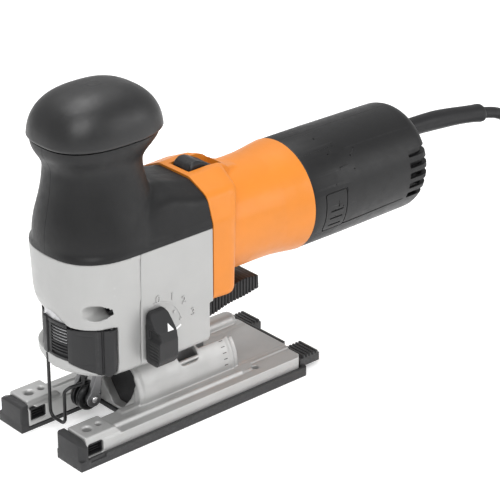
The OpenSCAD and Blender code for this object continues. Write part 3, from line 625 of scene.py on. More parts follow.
def grip_form(name):
    """The soft outer form of the grip: a waisted stem running down into a saddle over the gears."""
    stem_keys = [(96, -71.0, -4, 32.3, 2.15), (110, -71.0, -4, 32.3, 2.15), (118, -71.0, -5, 31.2, 2.2),
                 (127, -69.9, -7, 28.6, 2.25), (134, -68.3, -8.5, 26.0, 2.3), (142, -66.6, -10.5, 23.8, 2.3),
                 (150, -65.6, -12, 22.3, 2.3), (156, -65.3, -11.5, 22.3, 2.3), (160, -67.0, -9.0, 23.6, 2.4),
                 (164, -69.4, -5.5, 25.4, 2.5), (168, -70.2, -3.0, 26.6, 2.6), (174, -70.4, -2.4, 26.9, 2.6)]
    rings = []
    for z, front, rear, half, power in curve_through(stem_keys, 60):
        middle = (front + rear) / 2
        rings.append(level(oval(middle, 0, (rear - front) / 2, half, power, 96), z))
    stem = loft(name, rings)
    saddle_keys = [(-42, 120, 30.8), (-20, 135.5, 31.5), (-8, 136.8, 31.8), (2, 134.6, 32.0),
                   (10, 132.6, 32.2), (20, 131.6, 32.4)]
    rings = []
    for x, top, half in curve_through(saddle_keys, 30):
        shape = rounded([(-half, 92), (half, 92), (half - 0.6, 113), (half - 4.5, top - 6.2), (13, top),
                         (-13, top), (-half + 4.5, top - 6.2), (-half + 0.6, 113)],
                        [0, 0, 9, 9, 6, 6, 9, 9], 8)
        rings.append(section(shape, x))
    saddle = loft("saddle", rings)
    nose = prism("nose", housing_outline(96, 0.0), 96, 112.5)
    out = fuse(stem, saddle, nose)
    return soften(out, 1.0, 14)


NOSE_X = -36.3
NOSE_FRONT = 34.6
HALF_W = 32.5
NOSE_POWER = 2.6


def housing_outline(count, inset, rear=15.0, draw=0.0, squeeze=0.0):
    """The housing seen from above: a squared-off round nose and straight sides.

    draw pulls the nose in, squeeze narrows it where it meets the sides.
    """
    front = NOSE_FRONT - inset - draw
    side = HALF_W - inset
    half = side - squeeze
    out = []
    for k in range(count + 1):
        angle = math.pi / 2 + math.pi * k / count
        u, v = math.cos(angle), math.sin(angle)
        power = 2 / NOSE_POWER
        out.append((NOSE_X + front * math.copysign(abs(u) ** power, u),
                    half * math.copysign(abs(v) ** power, v)))
    for x, part in ((-33, 0.1), (-30, 0.35), (-26, 0.8), (-22, 1.0), (rear, 1.0)):
        out.append((x, -(half + squeeze * part)))
    for x, part in ((rear, 1.0), (-22, 1.0), (-26, 0.8), (-30, 0.35), (-33, 0.1)):
        out.append((x, half + squeeze * part))
    return out


def grip():
    outer = grip_form("grip")
    inner = copy_of(outer, "hollow")
    shrink = inner.modifiers.new("shrink", "DISPLACE")
    shrink.strength = -2.5 * MM
    shrink.mid_level = 0.0
    inner = settle(inner)
    inner = keep(inner, block("room", (-100, -60, 90), (12.5, 60, 167)))
    outer = keep(outer, block("span", (-100, -60, 110.15), (14.9, 60, 169.3)))
    shell = cut(outer, inner)
    in_halves(shell, "grip", "handle", (-100, 40), "soft_grip")


# ---------------------------------------------------------------- motor
def barrel():
    """Orange motor shell with its squared collar and the fairing round the switch."""
    tube = turned("orange_barrel", [(12, 30.6), (20, 30.6), (34, 30.0), (62, 30.0), (70, 30.25), (78, 31.1),
                                    (84, 31.95), (89, 32.5), (92, 32.7)], MOTOR_AXIS, "X", 160)
    shape = rounded([(-32.5, 68), (-24, 64.5), (24, 64.5), (32.5, 68), (32.7, 112), (27.5, 126.6),
                     (12.6, 133.2),
                     (-12.6, 133.2), (-27.5, 126.6), (-32.7, 112)], [5, 6, 6, 5, 9, 8, 2.5, 2.5, 8, 9], 8)
    rings = []
    for x, grow in ((10, 0), (15, 0), (26.0, 0.5), (28.8, 0.1), (30.4, -1.0), (31.4, -3.0)):
        ring = []
        for y, z in shape:
            lean = 8.5 * max(0.0, min(1.0, (z - 104) / 28)) ** 1.5 * max(0.0, (x - 15) / 16)
            ring.append((x + lean, y * (1 + grow / 32), 97 + (z - 97) * (1 + grow / 40)))
        rings.append(ring)
    collar = loft("collar", rings)
    rings = []
    for x, top, half, foot, foot_half in ((30, 132.6, 11.0, 116, 14.0), (38, 133.4, 11.0, 116, 14.0),
                                          (42, 132.0, 10.0, 116, 13.0), (47, 128.6, 8.0, 116, 12.0),
                                          (54, 127.0, 6.0, 116, 10.0)):
        rings.append([(x, y, z) for y, z in rounded([(-foot_half, foot), (foot_half, foot), (half, top),
                                                     (-half, top)], [0, 0, 1.6, 1.6], 5)])
    fairing = loft("fairing", rings)
    out = fuse(tube, collar, fairing)
    out = soften(out, 0.7, 7)
    well = prism("well", rounded([(19.0, -8.2), (45.5, -8.2), (45.5, 8.2), (19.0, 8.2)], 2.2), 124.2, 150)
    slope = prism("slope", [(18, 140), (18, 133.2), (30, 131.0), (39, 131.6), (45.5, 129.4), (46.5, 133),
                            (46.5, 140)], -8.2, 8.2, "Y")
    room = rod("room", 27.5, 14, 87, MOTOR_AXIS, "X", 128)
    wide = rod("wide", 30.1, 86.6, 95, MOTOR_AXIS, "X", 128)
    front = block("front", (0, -60, 40), (15.1, 60, 160))
    back = block("back", (88.9, -60, 40), (120, 60, 160))
    out = cut(out, well, slope, room, front, back)
    out = cut(out, wide)
    finish_piece(out, "body", "orange_shell", ["motor_housing"], 40)


def rear_shell():
    """Black rear housing in two halves, with vents through its rounded end."""
    rear = 182.0
    corner = 9.5
    profile = [(89.1, 31.6), (89.5, 32.0), (90.2, 32.3), (120, 32.3), (rear - corner, 31.8)]
    for k in range(1, 13):
        a = math.pi / 2 * k / 12
        profile.append((rear - corner + corner * math.sin(a), 31.8 - corner + corner * math.cos(a)))
    outer = turned("rear", profile, MOTOR_AXIS, "X", 192)
    hollow = turned("hollow", [(80, 29.5), (rear - corner, 29.5), (rear - 5.5, 28.0), (rear - 3, 24),
                               (rear - 2.6, 0.1)],
                    MOTOR_AXIS, "X", 96)
    outer = cut(outer, hollow, rod("cable", 6.9, 160, 190, (0, 109), "X", 48))
    for side in (-1, 1):
        slot = prism("slot", rounded([(163.5, 82.2), (190, 82.2), (190, 85.8), (163.5, 85.8)], 1.0), 17, 40,
                     "Y")
        slots = repeated(slot, ROW, 5, (0, 0, 6.35))
        outer = cut(outer, slots if side > 0 else mirrored_in_place(slots))
    for side in (-1, 1):
        y0, y1 = sorted((side * 12.0, side * 40.0))
        latch = prism("latch", rounded([(97.2, 80.6), (113.6, 80.6), (113.6, 104.6), (97.2, 104.6)], 2.0),
                      y0, y1, "Y")
        middle = prism("middle", rounded([(97.8, 81.2), (113.0, 81.2), (113.0, 104.0), (97.8, 104.0)], 1.6),
                       y0, y1, "Y")
        groove = cut(latch, middle)
        rib = block("rib", (101.0, y0, 83.6), (110.4, y1, 84.5))
        groove = fuse(groove, repeated(rib, ROW, 3, (0, 0, 4.6)))
        line = prism("line", [(113.4, 81.1), (160.6, 82.4), (160.6, 83.1), (113.4, 81.9)], y0, y1, "Y")
        groove = fuse(groove, line)
        outer = cut(outer, cut(groove, rod("core", 31.75, 80, 190, MOTOR_AXIS, "X", 128)))
        path = []
        for x, angle in curve_through([(127.6, 84), (127.3, 101.5), (126.4, 115), (122.6, 132.5),
                                       (116.4, 145.5),
                                       (109.5, 152), (104.0, 157)], 40):
            a = math.radians(angle if side < 0 else 180 - angle)
            path.append(np.array((x, 32.35 * math.cos(a), 97 + 32.35 * math.sin(a))))
        outer = cut(outer, wire("edge_line", path, 0.45, 8))
    screen = cut(rod("vent_screen", 27.6, 160, 176.8, MOTOR_AXIS, "X", 96),
                 rod("room", 26.8, 150, 190, MOTOR_AXIS, "X", 96))
    finish_piece(screen, "body", "black_shell")
    in_halves(outer, "rear", "rear_housing", (80, 200), "black_shell")


def mirrored_in_place(obj):
    obj.data.transform(Matrix.Scale(-1, 4, Vector((0, 1, 0))))
    obj.data.flip_normals()
    return obj


# ---------------------------------------------------------------- metal housing
BODY_LOW = 43.0
BODY_TOP = 110.0
SEAM_X = -34.0


def silver_ring(z, inset, count=96):
    """Outline of the metal housing at a height: its nose draws in a little towards the sole."""
    drop = (BODY_TOP - z) / (BODY_TOP - BODY_LOW)
    tuck = float(np.interp(z, (51, 56, 71.9, 73.5, 75.5, 78, 81, 85), (0, 5, 5, 3.2, 1.9, 0.9, 0.3, 0)))
    out = []
    for x, y in housing_outline(count, inset, 14.9, 3.2 * drop, 1.6 * drop):
        angle = math.degrees(math.atan2(y, x - NOSE_X)) % 360
        share = float(np.interp(angle, (95, 118, 178, 206), (0, 1, 1, 0)))
        reach = math.hypot(x - NOSE_X, y)
        pull = 1 - tuck * share / reach
        out.append((NOSE_X + (x - NOSE_X) * pull, y * pull, z))
    return out


def nose_sector(name, r0, r1, a0, a1, z0, z1, steps=24):
    """A curved slab about the nose's centre, between two angles in degrees."""
    inner = []
    outer = []
    for k in range(steps + 1):
        a = math.radians(a0 + (a1 - a0) * k / steps)
        inner.append((NOSE_X + r0 * math.cos(a), r0 * math.sin(a)))
        outer.append((NOSE_X + r1 * math.cos(a), r1 * math.sin(a)))
    return prism(name, outer + inner[::-1], z0, z1)


def front_and_back():
    rings = [silver_ring(z, inset) for z, inset in ((43.0, 3.4), (43.5, 2.2), (44.3, 1.1), (45.4, 0.35),
                                                    (46.6, 0.0),
                                                   (51, 0), (56, 0), (72, 0), (73, 0), (74, 0), (75.5, 0),
                                                   (77, 0),
                                                   (79, 0), (81, 0), (85, 0), (110.0, 0.0))]
    outer = loft("casting", rings)
    inner = loft("hollow", [silver_ring(z, 3.0) for z in (46.0, 51, 56, 72, 74, 76, 79, 85, 113)])
    outer = cut(outer, inner)
    front = keep(copy_of(outer, "front"), block("ahead", (-100, -60, 0), (SEAM_X - 0.1, 60, 160)))
    back = keep(outer, block("behind", (SEAM_X + 0.1, -60, 0), (60, 60, 160)))
    # front cover
    front = cut(front, nose_sector("window", 24, 44, 113, 247.5, 50.8, 72.0, 48))
    front = fuse(front, nose_sector("ledge", 28.0, 32.0, 112, 247, 44.0, 50.6, 48))
    front = cut(front, swept_sector("sweep", [(199.4, 24, 44, 50.4, 60), (206, 24, 44, 49.6, 60),
                                              (218, 24, 44, 47.8, 60),
                                              (228, 24, 44, 46.1, 60), (238, 24, 44, 44.8, 60),
                                              (247.4, 24, 44, 44.6, 60)]))
    for y in SCREW_Y:
        boss = keep(rod("boss", 7.0, -72, SEAM_X - 0.1, (y, SCREW_Z), "X"),
                    loft("inside", [silver_ring(z, 0.8) for z in (70, 74, 77, 81, 85, 95)]))
        front = fuse(front, boss)
        front = cut(front, rod("scoop", 4.5, -80, -47.6, (y, 81.8), "X"),
                    rod("hole", 2.0, -52, -30, (y, SCREW_Z), "X"))
    front = cut(front, block("rod_room", (-66, -9.5, 40), (-30, 9.5, 50)))
    front = cut(front, rod("relief", 3.6, 44.2, 72.1, FLAP_HINGE, "Z", 48))
    front = soften(front, 0.55, 2)
    finish_piece(front, "body", "silver_housing", ["front_cover"], 60, name="front_casting")
    # gear housing
    arch = rod("arch", 22.3, -60, 60, ARCH_AXIS, "X", 128)
    saddle = block("saddle", (-22, -14, 30), (12, 14, 46.5))
    back = fuse(back, saddle)
    for y in SCREW_Y:
        back = fuse(back, rod("boss", 6.0, SEAM_X + 0.1, -22, (y, SCREW_Z), "X"))
        back = cut(back, rod("hole", 2.0, -36, -24, (y, SCREW_Z), "X"))
    back = cut(back, block("under", (12.1, -60, 0), (40, 60, 67.2)), arch,
               block("rod_room", (-36, -9.5, 30), (-25, 9.5, 47)),
               rod("bore", 27.0, -10, 40, MOTOR_AXIS, "X", 96), rod("bolt", 3.0, 20, 50, (8.5, 0), "Z"),
               rod("select", 4.05, -36, -29, (-25.5, 61), "Y"), rod("lock", 2.0, -20, 20, LOCK_AXIS, "Y"))
    for side in (-1, 1):
        lug = block("lug", (11.5, 11.5 if side > 0 else -15, 43.5), (23, 15 if side > 0 else -11.5, 53))
        back = fuse(back, cut(lug, rod("pin", 2.0, -20, 20, LOCK_AXIS, "Y")))
    back = soften(back, 0.6, 2)
    finish_piece(back, "body", "silver_housing", ["gear_housing"], 60, name="gear_casting")


def swept_sector(name, rows, steps=4):
    """A slab about the nose's centre with its section changing along the way.

    Each row gives angle, inner radius, outer radius, lower height, upper height.
    """
    rings = []
    for before, after in zip(rows, rows[1:]):
        for k in range(steps):
            t = k / steps
            rings.append([p + (q - p) * t for p, q in zip(before, after)])
    rings.append(list(rows[-1]))
    out = []
    for angle, r0, r1, z0, z1 in rings:
        a = math.radians(angle)
        corners = ((r0, z0), (r1, z0), (r1, z1), (r0, z1))
        out.append([(NOSE_X + r * math.cos(a), r * math.sin(a), z) for r, z in corners])
    return loft(name, out)


def window_frame():
    """Dark guard insert seen through the opening: a post, a sill and fine ribs behind."""
    post = nose_sector("guard_post", 30.8, 33.0, 165.0, 172.5, 50.7, 71.9, 6)
    edge = nose_sector("post_edge", 30.8, 32.2, 172.3, 178.0, 50.7, 71.9, 6)
    head = nose_sector("head", 30.8, 32.4, 165.5, 199.2, 70.0, 71.9, 16)
    sill = nose_sector("sill", 30.8, 32.4, 165.5, 199.2, 50.7, 52.2, 16)
    back = nose_sector("back", 30.7, 31.3, 112, 199.2, 50.7, 71.9, 40)
    rib = nose_sector("rib", 31.0, 32.1, 177.8, 199.2, 54.0, 54.7, 12)
    out = fuse(post, edge, head, sill, back, repeated(rib, ROW, 9, (0, 0, 1.8)))
    out = bevelled(out, 0.25, 2)
    finish_piece(out, "body", "dark_plastic", name="guard_insert")


def hinge_pin():
    """Pin of the release flap."""
    out = turned("hinge_pin", [(45.2, 0.7), (45.5, 0.95), (71.9, 0.95), (72.2, 0.7)], FLAP_HINGE, "Z", 32)
    finish_piece(out, "body", "bright_pin", ["lever_pin"], 30, material=FINISH["black_steel"])


def release():
    """Blade release flap: a curved plate with a thicker grip edge by its hinge."""
    plate = swept_sector("release_flap", [
        (199.8, 29.9, 32.6, 50.6, 69.8), (200.8, 29.7, 33.4, 50.5, 70.3), (206, 29.7, 33.8, 49.8, 70.6),
        (218, 29.7, 34.0, 48.0, 71.1), (227, 29.7, 34.0, 46.5, 71.5), (228.6, 29.7, 34.9, 46.2, 71.5),
        (232.6, 29.7, 35.1, 45.6, 71.5), (233.4, 29.7, 34.2, 45.5, 71.5), (234.4, 29.7, 34.2, 45.4, 71.5),
        (235.2, 29.7, 35.3, 45.2, 71.6), (239.5, 30.0, 35.5, 44.8, 71.6), (243, 30.9, 35.2, 46.4, 71.6),
        (245.6, 31.7, 34.3, 48.6, 71.6), (246.8, 32.3, 33.8, 50.0, 71.5)])
    frame_line = nose_sector("frame_line", 33.8, 36, 204.5, 226.0, 51.0, 68.5, 24)
    frame_core = nose_sector("frame_core", 33.0, 37, 205.2, 225.3, 51.8, 67.7, 24)
    out = cut(plate, cut(frame_line, frame_core))
    out = cut(out, rod("pin_hole", 1.05, 40, 80, FLAP_HINGE, "Z", 24))
    out = soften(out, 0.33, 2)
    finish_piece(out, "lever", "dark_plastic", ["release_lever"], 60, name="release_flap")


# ---------------------------------------------------------------- selector
SELECT_X = -25.5
SELECT_Z = 61.0


def selector():
    """Pendulum selector: a round-ended bar with a sloped nose, grip notches and a pointer."""
    side = rounded([(-33.0, 46.2), (-33.0, 76.6), (-35.4, 76.4), (-43.2, 66.6), (-44.8, 62.0), (-44.8, 51.0),
                    (-41.0, 46.2)], [0.3, 0.3, 2.5, 4.0, 3.0, 5.0, 3.5], 8)
    bar = prism("selector_bar", side, SELECT_X - 7.5, SELECT_X + 7.5, "X")
    plan = rounded([(SELECT_X - 7.2, 44), (SELECT_X + 6.2, 44), (SELECT_X + 5.6, 77.4),
                    (SELECT_X - 6.8, 77.4)],
                   [6.5, 6.3, 5.4, 6.0], 10)
    bar = keep(bar, prism("plan", plan, -50, -30, "Y"))
    taper = prism("taper", [(SELECT_X + 6.6, -32), (SELECT_X + 6.6, -40), (SELECT_X + 5.2, -46),
                            (SELECT_X + 9, -46),
                            (SELECT_X + 9, -32)], 30, 90)
    bar = cut(bar, taper)
    waist = rounded([(SELECT_X - 9, 60.0), (SELECT_X - 5.6, 62.5), (SELECT_X - 5.6, 66.5),
                     (SELECT_X - 9, 69.0)], 1.5, 5)
    bar = cut(bar, prism("waist", waist, -50, -35.5, "Y"))
    notch = rod("notch", 0.6, -43.4, -36.0, (SELECT_X - 7.3, 51.0), "Y", 12)
    bar = cut(bar, repeated(notch, ROW, 5, (0, 0, 1.9)))
    bar = cut(bar, rod("socket", 4.0, -42, -30, (SELECT_X, SELECT_Z), "Y"))
    bar = soften(bar, 0.3, 3)
    finish_piece(bar, "selector", "dark_plastic", ["selector_knob"], 60, name="selector_bar")
    tri = prism("selector_pointer", [(-1.7, -2.0), (2.2, -2.0), (0.25, 2.2)], -0.6, 0.35)
    lean = math.atan2(76.4 - 66.6, 43.2 - 35.4)
    up = Vector((0, math.cos(lean), math.sin(lean)))
    out = Vector((0, -math.sin(lean), math.cos(lean)))
    place = Matrix.Identity(4)
    for row in range(3):
        place[row][0] = (1, 0, 0)[row]
        place[row][1] = up[row]
        place[row][2] = out[row]
    tri.data.transform(Matrix.Translation(Vector((SELECT_X + 1.6, -41.9, 68.2)) * MM) @ place)
    finish_piece(tri, "selector", "dark_plastic", material=WHITE)


def lettered(name, text, size, depth, x, z):
    """A raised numeral on the near side of the housing."""
    curve = bpy.data.curves.new(name, "FONT")
    curve.body = text
    curve.size = size * MM
    curve.extrude = depth * MM
    curve.align_x = "CENTER"
    curve.align_y = "CENTER"
    out = settle(add(name, curve))
    out.data.transform(Matrix.Translation(Vector((x, -HALF_W,
                                                  z)) * MM) @ Matrix.Rotation(math.pi / 2, 4, "X"))
    return out


def dial_marks():
    """Numerals 0 to 3, stops and the index line round the selector."""
    marks = []
    for text, x, z in (("0", -23.3, 80.6), ("1", -13.8, 79.3), ("2", -5.9, 74.7), ("3", 0.4, 65.6)):
        marks.append(lettered("numeral", text, 6.2, 0.45, x, z))
    for x, z in ((-18.5, 73.4), (-12.6, 70.0), (-8.2, 64.2)):
        marks.append(rod("stop", 0.8, -HALF_W - 0.5, -HALF_W + 0.2, (x, z), "Y", 16))
    arc = []
    for radius in (18.3, 17.7):
        row = []
        for k in range(25):
            a = math.radians(14 + 78 * k / 24)
            row.append((SELECT_X + radius * math.cos(a), SELECT_Z + radius * math.sin(a)))
        arc += row if radius > 18 else row[::-1]
    marks.append(prism("arc", arc, -HALF_W - 0.35, -HALF_W + 0.2, "Y"))
    first = marks[0]
    with bpy.context.temp_override(active_object=first, selected_editable_objects=marks):
        bpy.ops.object.join()
    finish_piece(first, "body", "silver_housing", name="dial_marks")
    line = prism("index_line", rounded([(-14.4, 57.4), (-7.8, 60.4), (-8.3, 61.4), (-14.9, 58.4)], 0.3, 2),
                 -HALF_W - 0.2, -HALF_W + 0.2, "Y")
    finish_piece(line, "body", "silver_housing", material=WHITE)


# ---------------------------------------------------------------- blade support
def link_outline(ends):
    """Outline wrapped round circles (x, z, radius)."""
    points = []
    for x, z, radius in ends:
        points += circle(radius, 32, (x, z))
    points = sorted(set((round(x, 4), round(z, 4)) for x, z in points))

    def half(items):
        kept = []
        for p in items:
            while len(kept) > 1:
                a, b = kept[-2], kept[-1]
                if (b[0] - a[0]) * (p[1] - a[1]) - (b[1] - a[1]) * (p[0] - a[0]) > 0:
                    break
                kept.pop()
            kept.append(p)
        return kept

    return half(points)[:-1] + half(points[::-1])[:-1]


ROLLER = (-48.2, 19.5)


def pendulum():
    """Forked pendulum arm, its roller and the bright roller pin."""
    arm = None
    for low in (4.6, -7.6):
        boss = rod("boss", 4.6, low, low + 3.0, ROLLER, "Y")
        lower = prism("lower", link_outline([(*ROLLER, 3.8), (-44.6, 32, 2.3)]), low, low + 3.0, "Y")
        upper = prism("upper", link_outline([(-44.6, 32, 2.3), (*PIVOT, 4.0)]), low, low + 3.0, "Y")
        cheek = fuse(boss, lower, upper)
        arm = cheek if arm is None else fuse(arm, cheek)
    arm = fuse(arm, rod("hub", 4.4, -5.2, 5.2, PIVOT, "Y"))
    arm = cut(arm, rod("pivot", 2.55, -20, 20, PIVOT, "Y"), rod("seat", 1.6, -20, 20, ROLLER, "Y"))
    arm = soften(arm, 0.33, 2)
    finish_piece(arm, "pendulum", "steel", ["pendulum_arm"], 60, name="pendulum_fork")
    profile = [(-4.2, 6.4), (-4.0, 7.3), (-3.5, 7.75), (-2.5, 7.75), (-2.3, 7.35), (-2.0, 7.35), (-1.8, 7.7),
               (-1.0, 7.7), (-0.7, 5.6), (0.7, 5.6), (1.0, 7.7), (1.8, 7.7), (2.0, 7.35), (2.3, 7.35),
               (2.5, 7.75), (3.5, 7.75), (4.0, 7.3), (4.2, 6.4)]
    roller = turned("guide_wheel", profile, ROLLER, "Y", 96)
    for low in (-5, 3.7):
        roller = cut(roller, cut(rod("ring", 5.6, low, low + 1.3, ROLLER, "Y"),
                                 rod("core", 4.6, -9, 9, ROLLER, "Y")))
    roller = cut(roller, rod("bore", 1.66, -9, 9, ROLLER, "Y"))
    finish_piece(roller, "roller", "black_steel", ["guide_roller"], 30, name="guide_wheel")
    pin = turned("rivet", [(-8.5, 1.0), (-8.4, 1.5), (-8.1, 1.75), (-7.65, 1.75), (-7.65, 1.58), (7.65, 1.58),
                           (7.65, 1.75), (8.1, 1.75), (8.4, 1.5), (8.5, 1.0)], ROLLER, "Y", 32)
    finish_piece(pin, "pendulum", "bright_pin", ["roller_pin"], 30)


def bent(points, reach, steps=6):
    """An open path with each inner corner turned into a bend."""
    out = [np.array(points[0], float)]
    for i in range(1, len(points) - 1):
        here = np.array(points[i], float)
        way_back, way_on = (np.array(points[k]) - here for k in (i - 1, i + 1))
        a = here + way_back / np.linalg.norm(way_back) * reach
        b = here + way_on / np.linalg.norm(way_on) * reach
        for k in range(steps + 1):
            t = k / steps
            out.append((1 - t) ** 2 * a + 2 * t * (1 - t) * here + t ** 2 * b)
    out.append(np.array(points[-1], float))
    return out


def wire(name, path, radius, count=16):
    """A round wire along a path."""
    rings = []
    side = None
    for i, here in enumerate(path):
        ahead = path[min(i + 1, len(path) - 1)] - path[max(i - 1, 0)]
        ahead = ahead / np.linalg.norm(ahead)
        if side is None:
            side = np.cross(ahead, (0.3, 0.5, 0.2))
        side = side - ahead * (side @ ahead)
        side = side / np.linalg.norm(side)
        other = np.cross(ahead, side)
        rings.append([tuple(here + u * side + v * other) for u, v in circle(radius, count)])
    return loft(name, rings)


def guard():
    """Bent wire guard in front of the blade."""
    path = [(-67.3, 6.6, 49.2), (-67.3, 6.6, 13.6), (-67.3, 4.6, 11.0), (-67.3, -4.6, 11.0),
            (-67.3, -6.6, 13.6),
            (-67.3, -6.6, 30.8), (-63.5, -7.4, 32.6), (-55.5, -8.0, 32.2), (-55.5, -8.0, 63)]
    out = wire("wire_loop", bent(path, 1.6), 0.95)
    finish_piece(out, "body", "black_steel", ["wire_guard"], 60)


# ---------------------------------------------------------------- base
def base():
    """Cast base plate: slotted deck with raised pads, beads, channels and the tilting arch."""
    plan = [(-75, -34.8), (75.2, -34.8), (78, -31.6), (78, 31.6), (75.2, 34.8), (-75, 34.8)]
    deck = prism("deck", plan, 2.4, 12.3)
    inner = prism("inner", [(-70, -28.4), (46, -28.4), (49, -23), (78, -23), (78, 23), (49, 23), (46, 28.4),
                            (-70, 28.4)],
                  11, 13.3)
    crown = prism("crown", [(-40, -20.6), (77.8, -20.6), (77.8, 20.6), (-40, 20.6)], 11, 14.0)
    arch = keep(rod("arch", 22.0, -24.5, 35.0, ARCH_AXIS, "X", 160), above(3.2))
    lip = keep(rod("lip", 21.4, -28.0, -24.0, ARCH_AXIS, "X", 160), above(3.2))
    deck = fuse(deck, inner, crown, arch, lip)
    for low, high, radius in ((36.0, 38.2, 22.2), (35.0, 36.2, 21.2), (38.0, 39.6, 21.0), (39.4, 41.6, 21.5)):
        hoop = keep(rod("hoop", radius, low, high, ARCH_AXIS, "X", 160), above(4))
        deck = fuse(deck, hoop)
    for side in (-1, 1):
        y0, y1 = sorted((side * 18.0, side * 34.0))
        pad = prism("pad", [(-74.6, 11), (-74.6, 16.6), (-74, 17), (-54.8, 17), (-53.4, 15.4),
                            (-51.2, 13.0), (-51.2, 11)],
                    y0, y1, "Y")
        bead = turned("bead", [(-52, 1.5), (38.2, 1.5), (39.0, 1.3), (39.6, 0.8), (39.9, 0.1)],
                      (side * 27.4, 13.0), "X", 24)
        deck = fuse(deck, pad, bead)
    rail = turned("rail", [(36, 5.6), (69, 5.6), (71, 5.2), (72.6, 4.2), (73.7, 2.6), (74.1, 0.6)],
                  (20.5, 15.6), "X", 48)
    rail = keep(rail, block("above", (-90, -60, 9), (90, 60, 60)))
    step = prism("step", rounded([(14, 13.0), (76.5, 13.0), (76.5, 20), (14, 20)], 1.0), 11, 15.2)
    deck = fuse(deck, rail, step)
    slot = prism("slot", rounded([(-90, -16), (-27, -16), (-27, 16), (-90, 16)], [0, 1.5, 1.5, 0]), 0, 60)
    under = cut(rod("tunnel", 19.0, -12, 34, ARCH_AXIS, "X", 128),
                block("low", (-60, -40, -20), (60, 40, 2.5)))
    mouth = prism("mouth", rounded([(-18.6, 34), (-17.3, 25), (-11.5, 13.5), (-4, 4.5), (4, 4.5),
                                    (11.5, 13.5),
                                    (17.3, 25), (18.6, 34), (12, 45), (-12, 45)], 2.5), -40, -9, "X")
    ceiling = rod("ceiling", 19.2, -40, -9, ARCH_AXIS, "X", 128)
    mouth = keep(mouth, ceiling)
    window = prism("window", rounded([(2, -19.6), (15.4, -19.6), (15.4, 19.6), (2, 19.6)], 3.4), 26.0, 60)
    opening = block("opening", (17.0, -15.6, 14.8), (47.0, 15.6, 50))
    deck = cut(deck, slot, under, mouth, window, opening)
    for side in (-1, 1):
        y0, y1 = sorted((side * 15.0, side * 60.0))
        deck = cut(deck, block("fence", (-73.5, y0, 5.5), (-63.5, y1, 12.5)))
        for x, y, radius, foot, sink in (
                (-67.6, 25.8, 2.5, 11.5, [(15.9, 2.4), (17.2, 3.5), (20, 3.5)]),
                (-59.7, 25.4, 1.7, 0, [(16.1, 1.6), (17.2, 2.5), (20, 2.5)]),
                (49.0, 27.3, 2.0, 0, [(12.0, 2.0), (13.4, 3.4), (20, 3.4)])):
            deck = cut(deck, rod("hole", radius, foot, 40, (x, side * y), "Z"),
                       turned("sink", sink, (x, side * y), "Z", 32))
    deck = soften(deck, 0.55, 2)
    for y in (-17.6, 17.6):
        deck = fuse(deck, rod("slot_bar", 1.15, 1.6, 15.8, (y, 27.2), "X", 24))
    finish_piece(deck, "base", "cast_base", ["base_plate"], 60, name="cast_base")


def base_linings():
    """Black linings: the fence openings and the closed end of the arch's mouth."""
    wall = keep(rod("bulkhead", 18.9, -22, -16, ARCH_AXIS, "X", 96), above(4.8))
    linings = [wall]
    for side in (-1, 1):
        y0, y1 = sorted((side * 16.6, side * 33.6))
        sleeve_out = block("lining", (-73.4, y0, 5.6), (-63.6, y1, 12.4))
        room = block("room", (-72.8, min(y0, y1) - 1, 6.2), (-64.2, max(y0, y1) + 1, 11.8))
        fin = block("fin", (-73.0, y0 + 1.5, 7.3), (-64.0, y1 - 1.5, 7.7))
        linings.append(fuse(cut(sleeve_out, room), repeated(fin, ROW, 3, (0, 0, 1.5))))
    out = fuse(linings[0], *linings[1:])
    finish_piece(out, "base", "grey_shoe", name="base_linings", material=FINISH["dark_plastic"])


def cover_screws():
    """Socket-head screws at the bottom of the front cover's scoops."""
    heads = None
    for y in SCREW_Y:
        screw = turned("cover_screw", [(-51.0, 2.6), (-50.7, 3.3), (-50.2, 3.6), (-48.1, 3.6), (-48.0, 1.7),
                                       (-24.6, 1.7)],
                       (y, SCREW_Z), "X", 48)
        screw = cut(screw, rod("socket", 1.9, -53, -49.4, (y, SCREW_Z), "X", 6))
        heads = screw if heads is None else fuse(heads, screw)
    finish_piece(heads, "body", "black_steel", ["cover_screws"], 30, name="cover_screw_pair")


def angle_marks():
    """Bevel graduations on the arch's rear shoulder."""
    tick = block("angle_marks", (31.4, -0.16, 21.7), (33.8, 0.16, 22.2))
    tick.data.transform(Matrix.Rotation(math.radians(50), 4, "X"))
    ticks = repeated(tick, RING, 5, (math.radians(9), 0, 0), FINISH["black_steel"])
    ticks = shift(ticks, z=16)
    finish_piece(ticks, "base", "cast_base", name="angle_marks", material=FINISH["black_steel"])


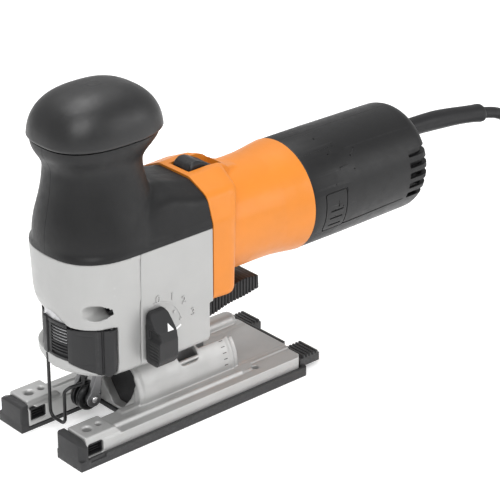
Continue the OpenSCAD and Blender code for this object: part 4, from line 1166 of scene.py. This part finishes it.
def shoe():
    """Grey glide shoe clipped round the casting, with front caps and ribbed rear tabs."""
    plan = [(-80, -37), (80, -37), (80, 37), (-80, 37)]
    out = prism("glide", rounded(plan, [0.5, 2, 2, 0.5], 4), 0, 5.5)
    out = fuse(out, block("rear", (78.2, -32.6, 0), (80, 32.6, 8.5)))
    out = cut(out, block("tray", (-75.2, -35.0, 2.2), (78.2, 35.0, 30)))
    out = fuse(out, prism("back_lip", rounded([(78.3, -18), (80, -18), (80, 15), (78.3, 15)], 0.4, 3), 4,
                          13.8))
    for side in (-1, 1):
        y_out = side * 37
        y_in = side * 16
        cap_plan = rounded([(-80, y_in), (-75.2, y_in), (-75.2, y_out), (-76.5, y_out), (-80, side * 34.6)],
                           [1.2, 0.3, 0.3, 1.0, 1.5], 4)
        cap = prism("cap", cap_plan, 0, 16)
        cap = cut(cap, prism("slope", [(-81, 14.2), (-78.5, 16.1), (-81, 17)], -60, 60, "Y"))
        cap = cut(cap, prism("scoop", [(side * 38, 16.1), (side * 38, 12.8), (side * 31, 16.1)], -82, -70,
                             "X"))
        out = fuse(out, cap)
        y0, y1 = sorted((side * 17.5, side * 32.5))
        tab = block("tab", (79, y0, 3.5), (93, y1, 8.4))
        fin = block("fin", (81, y0, 8), (82.3, y1, 10))
        out = fuse(out, tab, repeated(fin, ROW, 5, (2.4, 0, 0)))
        out = cut(out, rod("pin_hole", 1.7, -1, 30, (-59.7, side * 25.4), "Z"))
        y0, y1 = sorted((side * 36.2, side * 38))
        out = cut(out, block("fence", (-73.5, y0, 3.4), (-63.5, y1, 8)))
    out = cut(out, block("slot", (-90, -16, -1), (-28, 16, 30)))
    out = bevelled(out, 0.45, 2, 40)
    finish_piece(out, "base", "grey_shoe", ["glide_shoe"], 40, name="glide_shoe_moulding")


# ---------------------------------------------------------------- levers and switch
def lock():
    """Bevel lock lever: an S-curved paddle with a ribbed grip."""
    top = smooth_line([(13, 50.5, 0), (18, 53, 0), (30, 53.6, 0), (42, 56.2, 0), (54, 58.9, 0),
                       (65.6, 58.0, 0)], 4)
    low = smooth_line([(66, 50.2, 0), (56, 48.4, 0), (44, 47.3, 0), (30, 44.2, 0), (15, 44.6, 0)], 4)
    outline = [(p[0], p[1]) for p in top + low]
    out = prism("lock_paddle", outline, -10.9, 10.9, "Y")
    for low, high in ((-12, -10.3), (10.3, 12)):
        groove = block("groove", (27.0, low, 40), (28.0, high, 70))
        out = cut(out, repeated(groove, ROW, 17, (2.25, 0, 0)))
    out = cut(out, rod("pin", 2.05, -20, 20, LOCK_AXIS, "Y"))
    out = bevelled(out, 0.4, 2, 50)
    finish_piece(out, "lock", "dark_plastic", ["lock_lever"], 45, name="lock_paddle")


def switch():
    """Sliding switch: a humped thumb piece with a scooped back."""
    keys = [(20.0, 132.2), (20.8, 134.4), (22.6, 136.3), (25.4, 136.9), (28.5, 136.2), (31.5, 134.7),
            (35.0, 132.8), (37.2, 131.4), (38.0, 130.2)]
    rings = []
    for x, top in curve_through(keys, 40):
        dip = 1.0 * math.exp(-((x - 32.5) / 4.0) ** 2)
        rings.append([(x, y, z) for y, z in rounded([(-7.3, 124.6), (7.3, 124.6), (7.3, top - 1.4),
                                                     (6.0, top),
                                                     (0, top - dip), (-6.0, top), (-7.3, top - 1.4)],
                                                    [0.4, 0.4, 0.8, 0.8, 3.0, 0.8, 0.8], 5)])
    out = loft("thumb_slide", rings)
    out = fuse(out, block("stem", (25, -3, 121.4), (31, 3, 125)))
    finish_piece(out, "switch", "dark_plastic", ["switch_slider"], 40, name="thumb_slide")


dress_frame()
place_camera()
lay_cord()
sleeve()
studio()
knob()
grip()
barrel()
rear_shell()
front_and_back()
window_frame()
hinge_pin()
release()
selector()
dial_marks()
pendulum()
guard()
base()
base_linings()
cover_screws()
angle_marks()
shoe()
lock()
switch()
